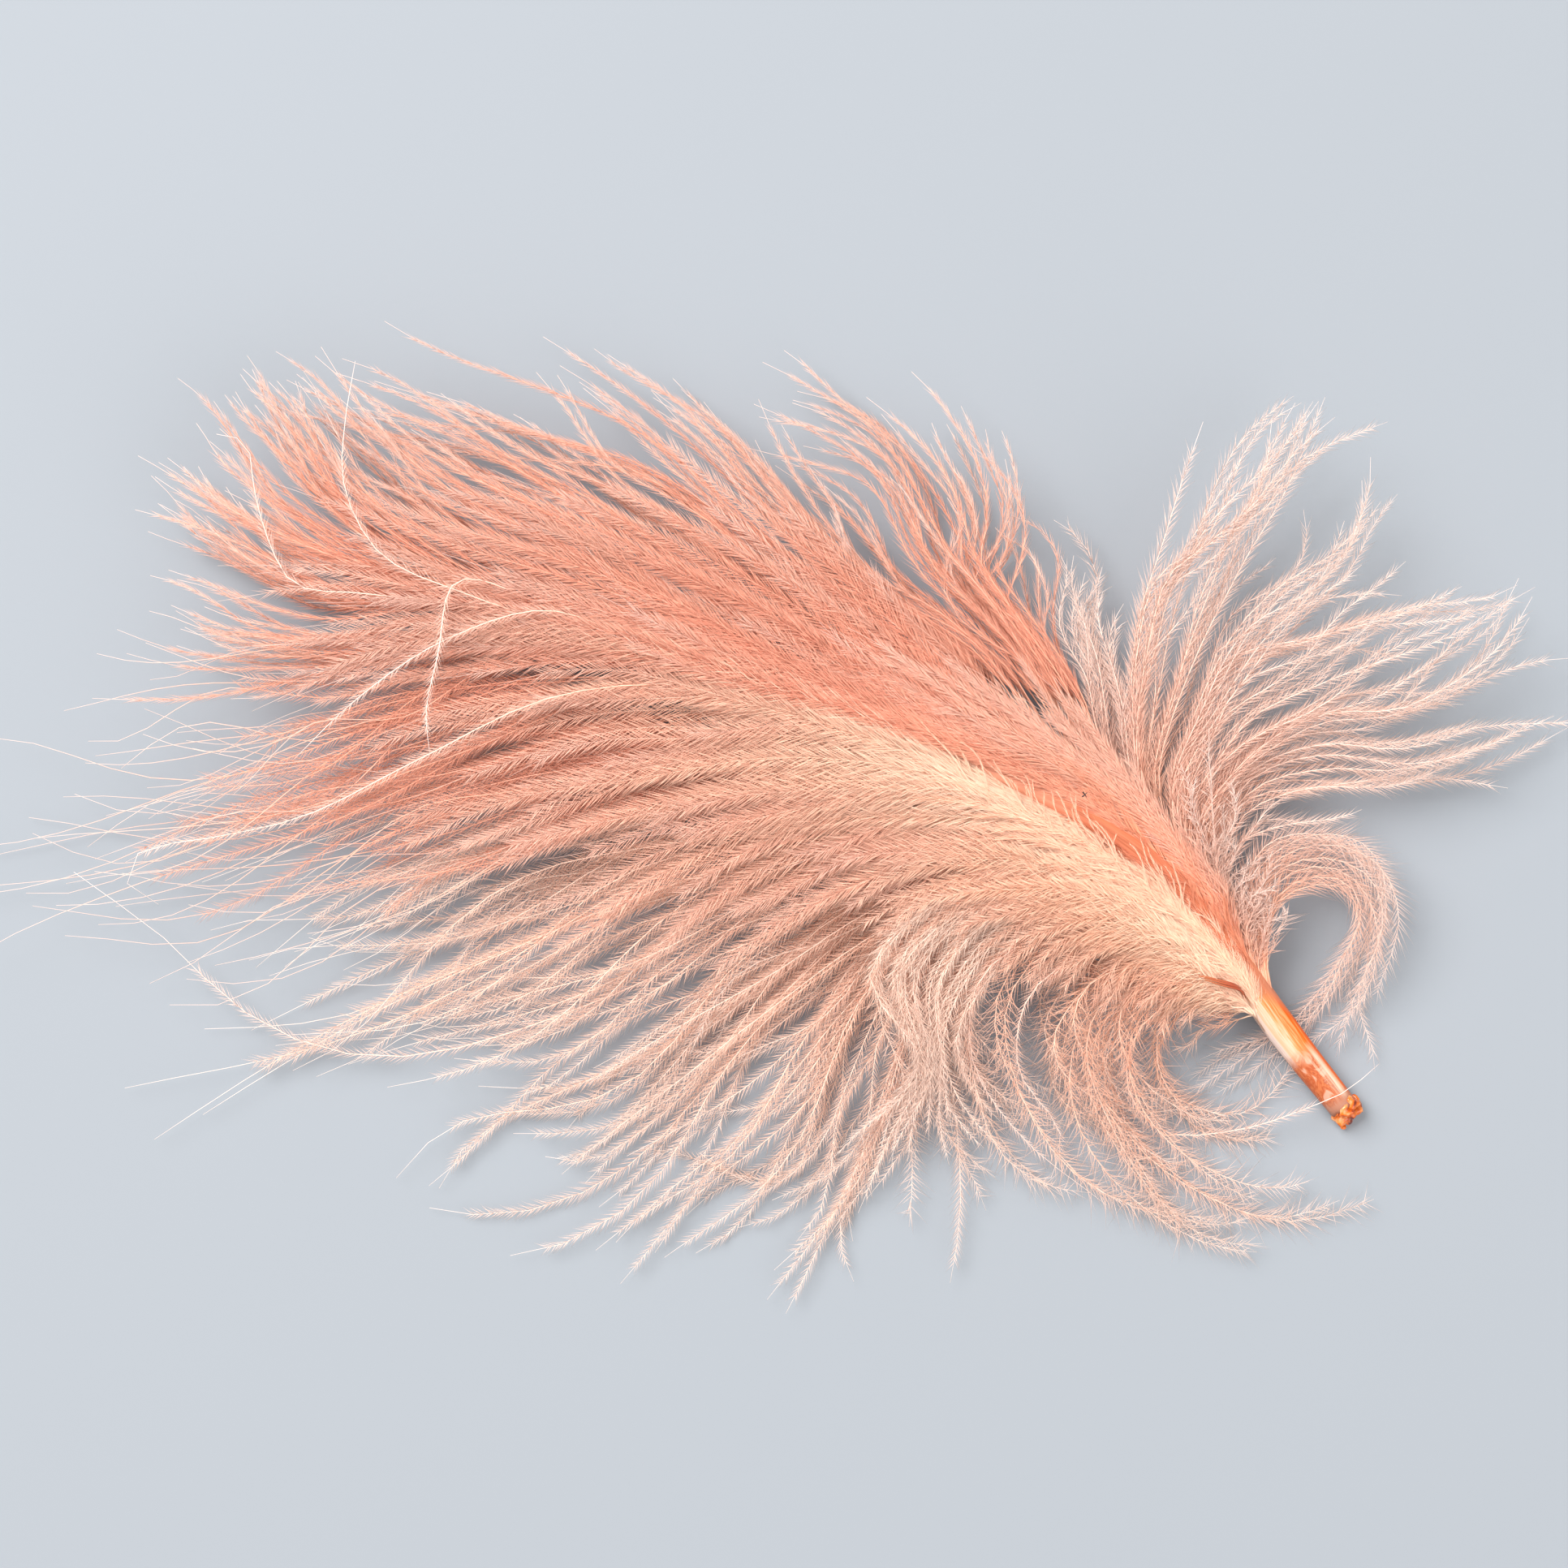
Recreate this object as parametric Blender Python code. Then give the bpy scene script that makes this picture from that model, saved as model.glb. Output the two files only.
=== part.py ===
"""A marabou feather lying flat: one grown piece, a cut quill that runs on as a thin shaft,
with the soft barbs on both sides gathered in tapered locks.

Lengths in the lists are millimetres. X runs along the plume's long side, with the quill at +X,
Y runs across it and Z is up. The feather rests on the plane z = 0."""

import bmesh
import bpy
import numpy as np
from mathutils import Vector

MM = 0.001

# Shaft: the quill's cut end comes first, then the shaft climbs into the plume and thins out.
SHAFT_ROUTE = [
    (34.9, -18.3, 0.86), (30.8, -13.15, 1.9), (27.1, -8.1, 3.8), (22.0, -2.4, 5.5), (14.5, 1.9, 6.6),
    (7.0, 5.1, 7.0), (-1.0, 7.9, 6.9), (-9.0, 10.5, 6.5), (-17.0, 13.3, 5.8), (-24.0, 16.6, 5.2),
]
SHAFT_RADII = [0.90, 1.04, 0.96, 0.72, 0.56, 0.45, 0.36, 0.28, 0.21, 0.14]
SHAFT_STEPS = 3
SHAFT_SIDES = 10
QUILL_WALL = 0.32
QUILL_HOLLOW = 1.4

# A lock is (millimetres along the shaft to its root, half width, the points it runs through).
SWIRLS = [
    (6.0, 0.8, [(29.5, -15.4, 1.6), (27.0, -16.6, 1.3), (24.4, -18.6, 0.8)]),
    (7.6, 0.8, [(28.2, -14.4, 2.0), (26.3, -15.6, 1.6), (24.2, -17.2, 0.9)]),
    (9.0, 1.4, [(27.0, -11.0, 3.8), (24.4, -11.7, 4.6), (22.9, -14.0, 4.2), (22.8, -17.4, 2.6),
                (25.0, -19.9, 1.2), (29.8, -19.6, 0.9), (34.2, -18.3, 0.8)]),
    (9.8, 1.5, [(25.5, -10.0, 5.0), (22.4, -10.6, 5.8), (20.4, -12.8, 5.4), (20.3, -16.2, 3.6),
                (22.4, -20.2, 1.6), (26.0, -23.2, 0.9), (30.4, -25.1, 0.9), (37.0, -22.4, 1.6)]),
    (10.6, 1.8, [(23.5, -8.8, 6.0), (19.2, -9.6, 6.8), (17.2, -12.4, 6.0), (17.1, -16.2, 3.8),
                 (19.6, -20.6, 1.6), (26.4, -26.3, 0.9)]),
    (11.6, 1.9, [(20.5, -7.2, 7.0), (15.6, -8.2, 7.6), (13.2, -11.4, 6.4), (13.6, -15.8, 3.8),
                 (17.2, -20.8, 1.6), (28.3, -25.7, 0.9)]),
    (12.8, 1.9, [(18.0, -5.6, 7.8), (12.0, -6.8, 8.0), (9.4, -10.2, 6.6), (10.2, -15.0, 3.8),
                 (12.9, -19.2, 1.6), (19.6, -24.4, 0.8)]),
    (14.0, 1.9, [(15.0, -4.4, 8.2), (9.0, -6.0, 8.2), (7.1, -10.0, 6.4), (8.9, -15.0, 3.8),
                 (9.2, -20.0, 1.6), (9.5, -25.2, 0.7)]),
    (15.2, 2.0, [(12.0, -3.4, 8.6), (5.8, -6.2, 7.8), (5.0, -11.4, 5.4), (6.8, -16.6, 2.8),
                 (5.2, -22.4, 1.2), (5.9, -31.1, 0.8)]),
    (17.0, 2.0, [(9.4, -2.2, 8.6), (2.6, -5.2, 7.6), (1.8, -11.0, 5.0), (4.2, -17.6, 2.2),
                 (2.8, -24.6, 0.9), (-3.1, -30.7, 0.8)]),
]
LOWER_VANE = [
    (18.6, 1.8, [(7.6, -1.4, 8.6), (0.6, -5.0, 7.4), (0.0, -11.2, 4.8), (3.0, -18.0, 1.8),
                 (-1.0, -24.8, 0.9), (-10.8, -22.0, 0.8)]),
    (21.0, 2.0, [(5.0, -0.4, 8.6), (-2.4, -4.6, 7.2), (-3.0, -11.2, 4.4), (-2.4, -18.2, 1.5),
                 (-13.3, -29.3, 0.8)]),
    (24.0, 2.0, [(2.4, 0.8, 8.6), (-5.2, -4.0, 7.2), (-5.8, -10.8, 4.2), (-6.4, -18.6, 1.4),
                 (-13.0, -24.8, 0.8), (-20.2, -22.0, 0.8)]),
    (27.0, 2.0, [(0.0, 1.8, 8.4), (-8.0, -3.4, 7.0), (-10.6, -10.2, 4.2), (-13.0, -17.0, 1.5),
                 (-21.0, -26.9, 0.8)]),
    (30.0, 2.0, [(-2.4, 2.6, 8.4), (-10.6, -2.6, 6.8), (-13.8, -9.6, 4.0), (-15.6, -16.4, 1.5),
                 (-20.0, -18.8, 0.9), (-25.2, -15.9, 0.8)]),
    (33.0, 2.0, [(-5.0, 3.4, 8.2), (-13.0, -1.6, 6.6), (-18.6, -8.2, 4.0), (-23.0, -13.4, 1.7),
                 (-31.1, -17.3, 0.8)]),
    (35.5, 1.9, [(-7.0, 4.2, 8.0), (-15.4, -0.8, 6.4), (-22.0, -7.4, 4.0), (-29.0, -12.8, 1.7),
                 (-42.5, -16.2, 0.9)]),
    (38.0, 1.8, [(-9.0, 4.8, 7.8), (-17.2, 0.2, 6.2), (-24.6, -6.0, 4.0), (-31.6, -10.8, 2.0),
                 (-41.5, -12.6, 1.0)]),
    (40.5, 1.8, [(-10.6, 5.4, 7.6), (-18.8, 1.2, 6.0), (-26.4, -4.4, 4.0), (-33.2, -8.4, 2.2),
                 (-40.0, -8.0, 1.2)]),
    (43.0, 1.8, [(-12.2, 6.2, 7.4), (-20.4, 2.2, 5.8), (-28.4, -2.6, 4.0), (-36.0, -5.0, 2.5),
                 (-46.4, -5.7, 1.5)]),
    (46.0, 1.7, [(-14.2, 7.2, 7.2), (-22.4, 3.6, 5.6), (-31.0, -0.4, 4.0), (-40.0, -1.5, 2.8),
                 (-50.5, -2.0, 1.8)]),
    (49.0, 1.6, [(-16.2, 8.2, 7.0), (-24.2, 5.0, 5.6), (-33.0, 1.4, 4.2), (-41.5, -0.1, 3.0),
                 (-50.5, 0.3, 2.2)]),
    (52.0, 1.5, [(-18.2, 9.2, 6.6), (-26.0, 6.4, 5.4), (-34.6, 3.0, 4.2), (-42.6, 1.9, 3.2),
                 (-50.3, 2.3, 2.6)]),
    (55.0, 1.5, [(-20.0, 10.2, 6.2), (-27.4, 7.8, 5.4), (-35.2, 5.4, 4.4), (-42.8, 4.4, 3.6),
                 (-50.4, 4.8, 3.2)]),
]
TIP = [
    (58.5, 1.5, [(-22.6, 11.6, 6.0), (-28.8, 10.0, 5.4), (-35.2, 11.1, 4.8), (-43.6, 13.8, 4.0)]),
    (61.5, 1.4, [(-24.6, 13.0, 5.8), (-29.8, 12.4, 5.4), (-34.4, 13.8, 5.0), (-39.2, 16.2, 4.4)]),
    (64.0, 1.4, [(-26.0, 14.8, 5.8), (-31.0, 15.4, 5.8), (-36.4, 18.0, 5.4), (-41.6, 21.8, 4.8)]),
    (66.5, 1.5, [(-27.4, 16.4, 6.0), (-31.4, 18.8, 6.2), (-34.4, 21.8, 6.0), (-37.5, 27.5, 5.4)]),
    (67.0, 1.5, [(-26.2, 18.2, 6.2), (-29.8, 22.4, 6.6), (-32.6, 26.2, 6.4), (-34.7, 29.5, 5.8)]),
    (64.5, 1.5, [(-23.4, 17.8, 6.4), (-26.8, 22.0, 6.6), (-29.2, 25.6, 6.2), (-31.2, 29.6, 5.4)]),
]
UPPER_VANE = [
    (52.0, 1.7, [(-13.0, 14.0, 7.2), (-20.0, 18.6, 7.0), (-23.8, 23.2, 6.2), (-26.8, 28.3, 5.0)]),
    (46.0, 1.7, [(-6.6, 13.0, 7.4), (-13.4, 18.4, 6.8), (-19.4, 23.4, 5.4), (-30.0, 28.0, 4.2)]),
    (41.0, 1.7, [(-2.6, 12.8, 7.6), (-9.4, 18.4, 6.6), (-16.0, 23.2, 4.8), (-23.6, 26.9, 3.6)]),
    (37.0, 1.7, [(0.6, 12.2, 7.6), (-6.0, 17.8, 6.4), (-12.0, 22.8, 4.6), (-18.2, 27.8, 3.4)]),
    (34.0, 1.7, [(3.4, 11.6, 7.6), (-2.8, 17.4, 6.4), (-8.6, 24.0, 4.6), (-15.6, 31.1, 3.4)]),
    (31.0, 1.7, [(6.2, 10.8, 7.4), (0.6, 16.6, 6.2), (-3.6, 21.6, 4.4), (-7.0, 26.2, 3.2)]),
    (28.6, 1.7, [(8.6, 10.0, 7.2), (3.8, 15.8, 6.0), (0.2, 21.0, 4.2), (-4.0, 27.5, 3.0)]),
    (26.4, 1.6, [(11.0, 9.0, 7.0), (6.8, 14.8, 5.8), (3.0, 20.2, 4.0), (0.2, 26.6, 2.8)]),
    (24.6, 1.5, [(13.4, 8.0, 6.8), (9.2, 13.4, 5.8), (8.0, 18.6, 4.2), (6.4, 22.8, 3.0),
                 (1.7, 26.9, 2.2)]),
    (23.2, 1.4, [(15.8, 6.8, 6.6), (11.8, 12.6, 6.0), (11.6, 18.0, 4.8), (12.2, 22.4, 3.8),
                 (8.5, 27.2, 3.0)]),
    (22.2, 1.2, [(17.2, 6.6, 6.4), (14.2, 12.0, 6.0), (9.8, 16.4, 4.6), (7.6, 20.6, 3.4)]),
]
TUFT = [
    (21.6, 1.2, [(18.8, 6.4, 6.0), (17.4, 11.4, 6.2), (16.8, 14.8, 5.4), (13.5, 17.7, 4.4)]),
    (20.6, 1.3, [(20.0, 5.8, 5.8), (19.2, 9.4, 6.0), (18.2, 12.8, 5.6), (18.1, 16.6, 4.6)]),
    (19.5, 1.3, [(21.0, 4.6, 5.6), (21.2, 8.6, 6.0), (21.6, 11.8, 5.8), (22.1, 15.4, 5.0)]),
    (18.0, 1.5, [(22.0, 3.6, 5.6), (22.6, 8.2, 6.4), (24.6, 13.0, 7.2), (27.4, 19.0, 7.4),
                 (33.0, 26.3, 6.8)]),
    (17.0, 1.5, [(22.8, 2.8, 5.4), (24.4, 8.0, 6.4), (27.2, 13.4, 7.4), (30.0, 19.8, 8.0),
                 (36.4, 25.8, 7.4)]),
    (16.0, 1.6, [(23.6, 1.8, 5.2), (25.8, 7.2, 6.2), (29.6, 12.4, 7.2), (33.0, 16.6, 7.6),
                 (36.0, 22.6, 6.8)]),
    (15.2, 1.6, [(24.2, 1.0, 5.2), (27.0, 6.4, 6.0), (31.0, 11.2, 6.8), (34.4, 14.8, 7.0),
                 (37.7, 19.8, 6.4)]),
    (14.4, 1.6, [(24.8, 0.2, 5.0), (28.2, 5.4, 5.8), (33.2, 8.8, 6.2), (38.4, 11.0, 6.2),
                 (42.3, 14.7, 5.8)]),
    (13.6, 1.5, [(25.4, -0.8, 4.8), (29.0, 4.4, 5.6), (35.0, 6.9, 6.0), (41.0, 8.8, 6.0),
                 (47.3, 15.1, 5.4)]),
    (12.8, 1.6, [(25.9, -1.8, 4.6), (29.8, 2.8, 5.0), (36.0, 5.2, 5.2), (43.0, 6.4, 5.0),
                 (50.6, 9.2, 4.4)]),
    (12.0, 1.6, [(26.5, -2.8, 4.2), (30.4, 1.2, 4.2), (36.5, 3.0, 4.2), (43.5, 4.0, 4.0),
                 (50.5, 5.2, 3.4)]),
    (11.4, 1.3, [(27.2, -4.0, 4.0), (30.0, -0.6, 3.8), (33.4, 0.4, 3.2), (38.6, 2.4, 2.6)]),
]
CURLS = [
    (10.6, 1.1, [(28.2, -5.6, 3.6), (30.2, -2.4, 4.2), (33.8, -1.7, 4.4), (36.6, -4.4, 4.0),
                 (38.5, -8.4, 3.0)]),
    (10.0, 1.1, [(29.0, -7.0, 3.4), (30.8, -4.4, 4.2), (34.4, -3.5, 4.4), (36.7, -6.6, 3.6),
                 (36.1, -11.0, 2.0), (36.3, -15.2, 0.9)]),
    (9.4, 0.9, [(30.0, -8.2, 3.2), (31.8, -5.8, 3.6), (34.6, -6.0, 3.4), (33.8, -9.2, 2.2),
                (31.9, -11.6, 1.2)]),
]
# The barbs beneath, which the plume rests on: their undersides are flat on the ground.
UNDERSIDE = [
    (16.0, 2.2, [(20.0, -8.0, 1.8), (15.0, -12.0, 0.7), (12.0, -16.0, 0.6), (10.0, -20.0, 0.6)]),
    (24.0, 2.4, [(10.0, -3.0, 2.2), (4.0, -9.0, 0.7), (-1.0, -14.0, 0.6), (-5.0, -19.0, 0.6)]),
    (31.0, 2.4, [(3.0, 0.0, 2.2), (-4.0, -6.0, 0.7), (-10.0, -11.0, 0.6), (-17.0, -15.0, 0.6)]),
    (39.0, 2.4, [(-5.0, 4.0, 2.4), (-12.0, -1.0, 0.8), (-19.0, -4.0, 0.6), (-27.0, -7.0, 0.6)]),
    (47.0, 2.2, [(-11.0, 7.0, 2.2), (-18.0, 5.0, 0.8), (-25.0, 3.0, 0.6), (-33.0, 1.0, 0.6)]),
    (56.0, 2.0, [(-18.0, 13.0, 2.2), (-23.0, 15.0, 0.8), (-28.0, 17.5, 0.6), (-33.0, 20.0, 0.6)]),
    (45.0, 2.2, [(-4.0, 13.0, 2.2), (-10.0, 17.0, 0.8), (-16.0, 20.5, 0.6), (-22.0, 23.5, 0.6)]),
    (34.0, 2.2, [(8.0, 10.0, 2.2), (4.0, 14.0, 0.8), (0.0, 18.0, 0.6), (-4.0, 22.0, 0.6)]),
    (21.0, 1.8, [(20.5, 4.0, 2.2), (21.5, 8.0, 0.8), (22.5, 11.0, 0.6), (24.0, 14.5, 0.6)]),
    (13.0, 1.8, [(28.0, -1.0, 1.8), (32.0, 2.0, 0.8), (36.0, 4.0, 0.6), (41.0, 5.5, 0.6)]),
]
SHOWING = SWIRLS + LOWER_VANE + TIP + UPPER_VANE + TUFT + CURLS

# How full a lock is from its root to its tip, and the lens of its section for a half width of 1.
LOCK_SHARES = [0.0, 0.2, 0.45, 0.75, 1.0]
LOCK_FULLNESS = [0.38, 0.85, 1.0, 0.78, 0.12]
LOCK_SECTION = [(-1.0, 0.0), (0.0, -0.50), (1.0, 0.0), (0.0, 0.58)]
SHOWING_STEPS = 2
UNDERSIDE_STEPS = 1

# The block of ground that trims what lies below z = 0.
GROUND_SIDE = 140.0
GROUND_DEPTH = 4.0

PEACH = (0.86, 0.42, 0.27, 1.0)
SOFT_ROUGHNESS = 0.8

# Points of a cap and of the side it closes are one where they are nearer than this, in metres.
WELD = 0.000001


def clear_scene():
    for obj in list(bpy.data.objects):
        bpy.data.objects.remove(obj, do_unlink=True)


def dyed_down():
    """The soft dyed barbs: peach all over, with no shine."""
    material = bpy.data.materials.new("dyed down")
    material.use_nodes = True
    surface = material.node_tree.nodes["Principled BSDF"]
    surface.inputs["Base Color"].default_value = PEACH
    surface.inputs["Roughness"].default_value = SOFT_ROUGHNESS
    surface.inputs["Metallic"].default_value = 0.0
    return material


def link(name, data):
    obj = bpy.data.objects.new(name, data)
    bpy.context.scene.collection.objects.link(obj)
    return obj


def make_guide(obj):
    """Keeps an object that only shapes another one out of the picture."""
    obj.hide_render = True
    obj.display_type = "WIRE"


def section_outline(name, corners):
    """A closed flat outline, for a radius of 1 mm, that a route carries along."""
    curve = bpy.data.curves.new(name, "CURVE")
    curve.dimensions = "2D"
    spline = curve.splines.new("POLY")
    spline.points.add(len(corners) - 1)
    for point, (across, up) in zip(spline.points, corners):
        point.co = (across * MM, up * MM, 0.0, 1.0)
    spline.use_cyclic_u = True
    outline = link(name, curve)
    make_guide(outline)
    return outline


def swept(name, route, radii, steps, section):
    """A closed form along a smooth route in millimetres, its section scaled at each point."""
    curve = bpy.data.curves.new(name, "CURVE")
    curve.dimensions = "3D"
    curve.twist_mode = "Z_UP"
    curve.resolution_u = steps
    curve.bevel_mode = "OBJECT"
    curve.bevel_object = section
    curve.use_fill_caps = True
    spline = curve.splines.new("BEZIER")
    spline.bezier_points.add(len(route) - 1)
    for point, place, radius in zip(spline.bezier_points, route, radii):
        point.co = Vector(place) * MM
        point.radius = radius
        point.handle_left_type = "AUTO"
        point.handle_right_type = "AUTO"
    guide = link(name, curve)
    bpy.context.view_layer.update()
    evaluated = guide.evaluated_get(bpy.context.evaluated_depsgraph_get())
    mesh = bpy.data.meshes.new_from_object(evaluated)
    bpy.data.objects.remove(guide, do_unlink=True)
    mesh.name = name
    shape = bmesh.new()
    shape.from_mesh(mesh)
    bmesh.ops.remove_doubles(shape, verts=shape.verts, dist=WELD)
    bmesh.ops.recalc_face_normals(shape, faces=shape.faces)
    shape.to_mesh(mesh)
    shape.free()
    return mesh


def open_quill(mesh):
    """Hollows the quill from its cut end, which is the cap that lies farthest along +X."""
    shape = bmesh.new()
    shape.from_mesh(mesh)
    end = max(shape.faces, key=lambda face: face.calc_center_median().x)
    inward = -end.normal.copy()
    bmesh.ops.inset_region(shape, faces=[end], thickness=QUILL_WALL * MM)
    floor = bmesh.ops.extrude_discrete_faces(shape, faces=[end])["faces"][0]
    bmesh.ops.translate(shape, verts=floor.verts, vec=inward * QUILL_HOLLOW * MM)
    bmesh.ops.recalc_face_normals(shape, faces=shape.faces)
    shape.to_mesh(mesh)
    shape.free()


def shaft():
    turn = np.linspace(0.0, 2.0 * np.pi, SHAFT_SIDES, endpoint=False)
    ring = section_outline("shaft_section", [(np.cos(angle), np.sin(angle)) for angle in turn])
    mesh = swept("feather", SHAFT_ROUTE, SHAFT_RADII, SHAFT_STEPS, ring)
    open_quill(mesh)
    return link("feather", mesh)


def shaft_at(station):
    """The point of the shaft's centreline at a distance in millimetres from the cut end."""
    route = np.array(SHAFT_ROUTE)
    lengths = np.linalg.norm(np.diff(route, axis=0), axis=1)
    stations = np.concatenate([[0.0], np.cumsum(lengths)])
    return tuple(float(np.interp(station, stations, route[:, axis])) for axis in range(3))


def add_locks(collection, group, rows, steps, lens):
    """Makes each lock of a group as a guide object in the collection."""
    for number, (station, half_width, points) in enumerate(rows, start=1):
        route = [shaft_at(station)] + points
        shares = np.linspace(0.0, 1.0, len(route))
        radii = half_width * np.interp(shares, LOCK_SHARES, LOCK_FULLNESS)
        name = f"{group}_{number:02d}"
        lock = bpy.data.objects.new(name, swept(name, route, radii, steps, lens))
        collection.objects.link(lock)
        make_guide(lock)


def all_locks():
    lens = section_outline("lock_section", LOCK_SECTION)
    locks = bpy.data.collections.new("locks")
    bpy.context.scene.collection.children.link(locks)
    add_locks(locks, "lock", SHOWING, SHOWING_STEPS, lens)
    add_locks(locks, "underside_lock", UNDERSIDE, UNDERSIDE_STEPS, lens)
    return locks


def ground():
    mesh = bpy.data.meshes.new("ground")
    block = bmesh.new()
    bmesh.ops.create_cube(block, size=1.0)
    bmesh.ops.scale(block, verts=block.verts, vec=Vector((GROUND_SIDE, GROUND_SIDE, GROUND_DEPTH)) * MM)
    bmesh.ops.translate(block, verts=block.verts, vec=(0.0, 0.0, -GROUND_DEPTH / 2 * MM))
    block.to_mesh(mesh)
    block.free()
    obj = link("ground", mesh)
    make_guide(obj)
    return obj


def grow_together(feather, locks):
    union = feather.modifiers.new("grown together", "BOOLEAN")
    union.operation = "UNION"
    union.operand_type = "COLLECTION"
    union.collection = locks
    union.solver = "EXACT"
    union.use_self = True


def lay_flat(feather, block):
    trim = feather.modifiers.new("flat where it rests", "BOOLEAN")
    trim.operation = "DIFFERENCE"
    trim.object = block
    trim.solver = "EXACT"


def shells(shape):
    """The vertices of each closed shell of a mesh."""
    left = set(shape.verts)
    while left:
        shell = []
        border = [left.pop()]
        while border:
            vert = border.pop()
            shell.append(vert)
            around = {edge.other_vert(vert) for edge in vert.link_edges} & left
            left -= around
            border.extend(around)
        yield shell


def fill_pinholes(feather):
    """Keeps the outer shell alone, so that no pinhole stays shut in where locks lie on each other."""
    bpy.context.view_layer.update()
    evaluated = feather.evaluated_get(bpy.context.evaluated_depsgraph_get())
    grown = bpy.data.meshes.new_from_object(evaluated)
    shape = bmesh.new()
    shape.from_mesh(grown)
    inner = sorted(shells(shape), key=len)[:-1]
    bmesh.ops.delete(shape, geom=[vert for shell in inner for vert in shell], context="VERTS")
    shape.to_mesh(grown)
    shape.free()
    feather.modifiers.clear()
    feather.data = grown


def main():
    clear_scene()
    feather = shaft()
    feather.data.materials.append(dyed_down())
    grow_together(feather, all_locks())
    lay_flat(feather, ground())
    fill_pinholes(feather)


main()
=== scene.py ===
"""A marabou plume, dyed peach, lying loose on pale paper and seen from straight above.

Lengths in the lists are millimetres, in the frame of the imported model: X along the plume's long
side with the quill at +X, Y across it and Z up from the paper."""

import bmesh
import bpy
import numpy as np
from mathutils import Matrix, Vector, noise


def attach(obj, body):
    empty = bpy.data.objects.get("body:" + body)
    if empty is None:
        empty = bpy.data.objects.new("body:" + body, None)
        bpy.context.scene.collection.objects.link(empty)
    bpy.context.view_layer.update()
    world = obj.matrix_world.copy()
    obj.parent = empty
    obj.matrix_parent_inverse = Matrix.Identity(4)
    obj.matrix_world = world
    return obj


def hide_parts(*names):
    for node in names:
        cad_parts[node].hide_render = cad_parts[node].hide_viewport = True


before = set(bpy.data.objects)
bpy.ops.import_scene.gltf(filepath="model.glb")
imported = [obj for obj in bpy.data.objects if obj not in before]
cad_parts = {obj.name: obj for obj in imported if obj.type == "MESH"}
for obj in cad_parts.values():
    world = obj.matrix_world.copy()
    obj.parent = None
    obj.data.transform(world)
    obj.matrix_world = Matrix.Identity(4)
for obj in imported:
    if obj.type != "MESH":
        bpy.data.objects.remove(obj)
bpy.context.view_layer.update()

# The feather lies on a sheet of smooth matt paper, pale and slightly cool so that the dye stands
# out against it. Its side, in metres, is longer than any view of the feather takes in.
PAPER_SIDE = 4.0
PAPER_COLOUR = "#8F9398"
PAPER_ROUGHNESS = 0.9


def linear(code):
    """An sRGB hex colour as the linear values that a socket takes."""
    parts = [int(code[place:place + 2], 16) / 255.0 for place in (1, 3, 5)]
    light = [part / 12.92 if part <= 0.04045 else ((part + 0.055) / 1.055) ** 2.4 for part in parts]
    return light + [1.0]


def new_material(name, roughness):
    """A material of the given roughness, and its surface node."""
    material = bpy.data.materials.new(name)
    material.use_nodes = True
    surface = material.node_tree.nodes["Principled BSDF"]
    surface.inputs["Roughness"].default_value = roughness
    return material, surface


def add_piece(name, shape, material):
    """Turns a bmesh in metres into an object of the scene."""
    mesh = bpy.data.meshes.new(name)
    shape.to_mesh(mesh)
    shape.free()
    mesh.materials.append(material)
    piece = bpy.data.objects.new(name, mesh)
    bpy.context.scene.collection.objects.link(piece)
    return piece


paper_material, paper_surface = new_material("matt paper", PAPER_ROUGHNESS)
paper_surface.inputs["Base Color"].default_value = linear(PAPER_COLOUR)
paper_shape = bmesh.new()
bmesh.ops.create_grid(paper_shape, x_segments=1, y_segments=1, size=PAPER_SIDE / 2)
paper = add_piece("paper", paper_shape, paper_material)

# The camera looks straight down from well above, as a macro lens on a copy stand does. Its frame is
# as wide as the photograph's at the height where most of the feather lies.
MM = 0.001
FRAME_WIDTH = 96.6
FRAME_CENTRE = (0.0, 1.95)
FOCUS_HEIGHT = 4.0
LENS = 120.0
SENSOR = 36.0
NEAREST_SEEN = 10.0

camera_data = bpy.data.cameras.new("copy stand camera")
camera_data.lens = LENS
camera_data.sensor_width = SENSOR
camera_data.clip_start = NEAREST_SEEN * MM
camera = bpy.data.objects.new("copy_stand_camera", camera_data)
camera_height = FOCUS_HEIGHT + FRAME_WIDTH * LENS / SENSOR
camera.location = (FRAME_CENTRE[0] * MM, FRAME_CENTRE[1] * MM, camera_height * MM)
bpy.context.scene.collection.objects.link(camera)
bpy.context.scene.camera = camera

# Studio light: one large soft box to the upper left, a weaker one across from it, and an even pale
# glow from all round. The plain view transform keeps the dye as strong as it is. Each box is given
# by its place and its side in metres and its power in watts.
SOFT_BOXES = {
    "key_light": (Vector((-0.32, 0.30, 0.52)), 0.45, 7.6),
    "fill_light": (Vector((0.42, -0.30, 0.40)), 0.60, 3.0),
}
GLOW_COLOUR = "#F4F6F8"
GLOW_STRENGTH = 0.80

for light_name, (light_place, light_side, light_power) in SOFT_BOXES.items():
    light_data = bpy.data.lights.new(light_name, "AREA")
    light_data.size = light_side
    light_data.energy = light_power
    light = bpy.data.objects.new(light_name, light_data)
    light.location = light_place
    light.rotation_euler = light_place.to_track_quat("Z", "Y").to_euler()
    bpy.context.scene.collection.objects.link(light)
world = bpy.data.worlds.new("pale studio")
world.use_nodes = True
world.node_tree.nodes["Background"].inputs["Color"].default_value = linear(GLOW_COLOUR)
world.node_tree.nodes["Background"].inputs["Strength"].default_value = GLOW_STRENGTH
bpy.context.scene.world = world
bpy.context.scene.view_settings.view_transform = "Standard"

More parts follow.
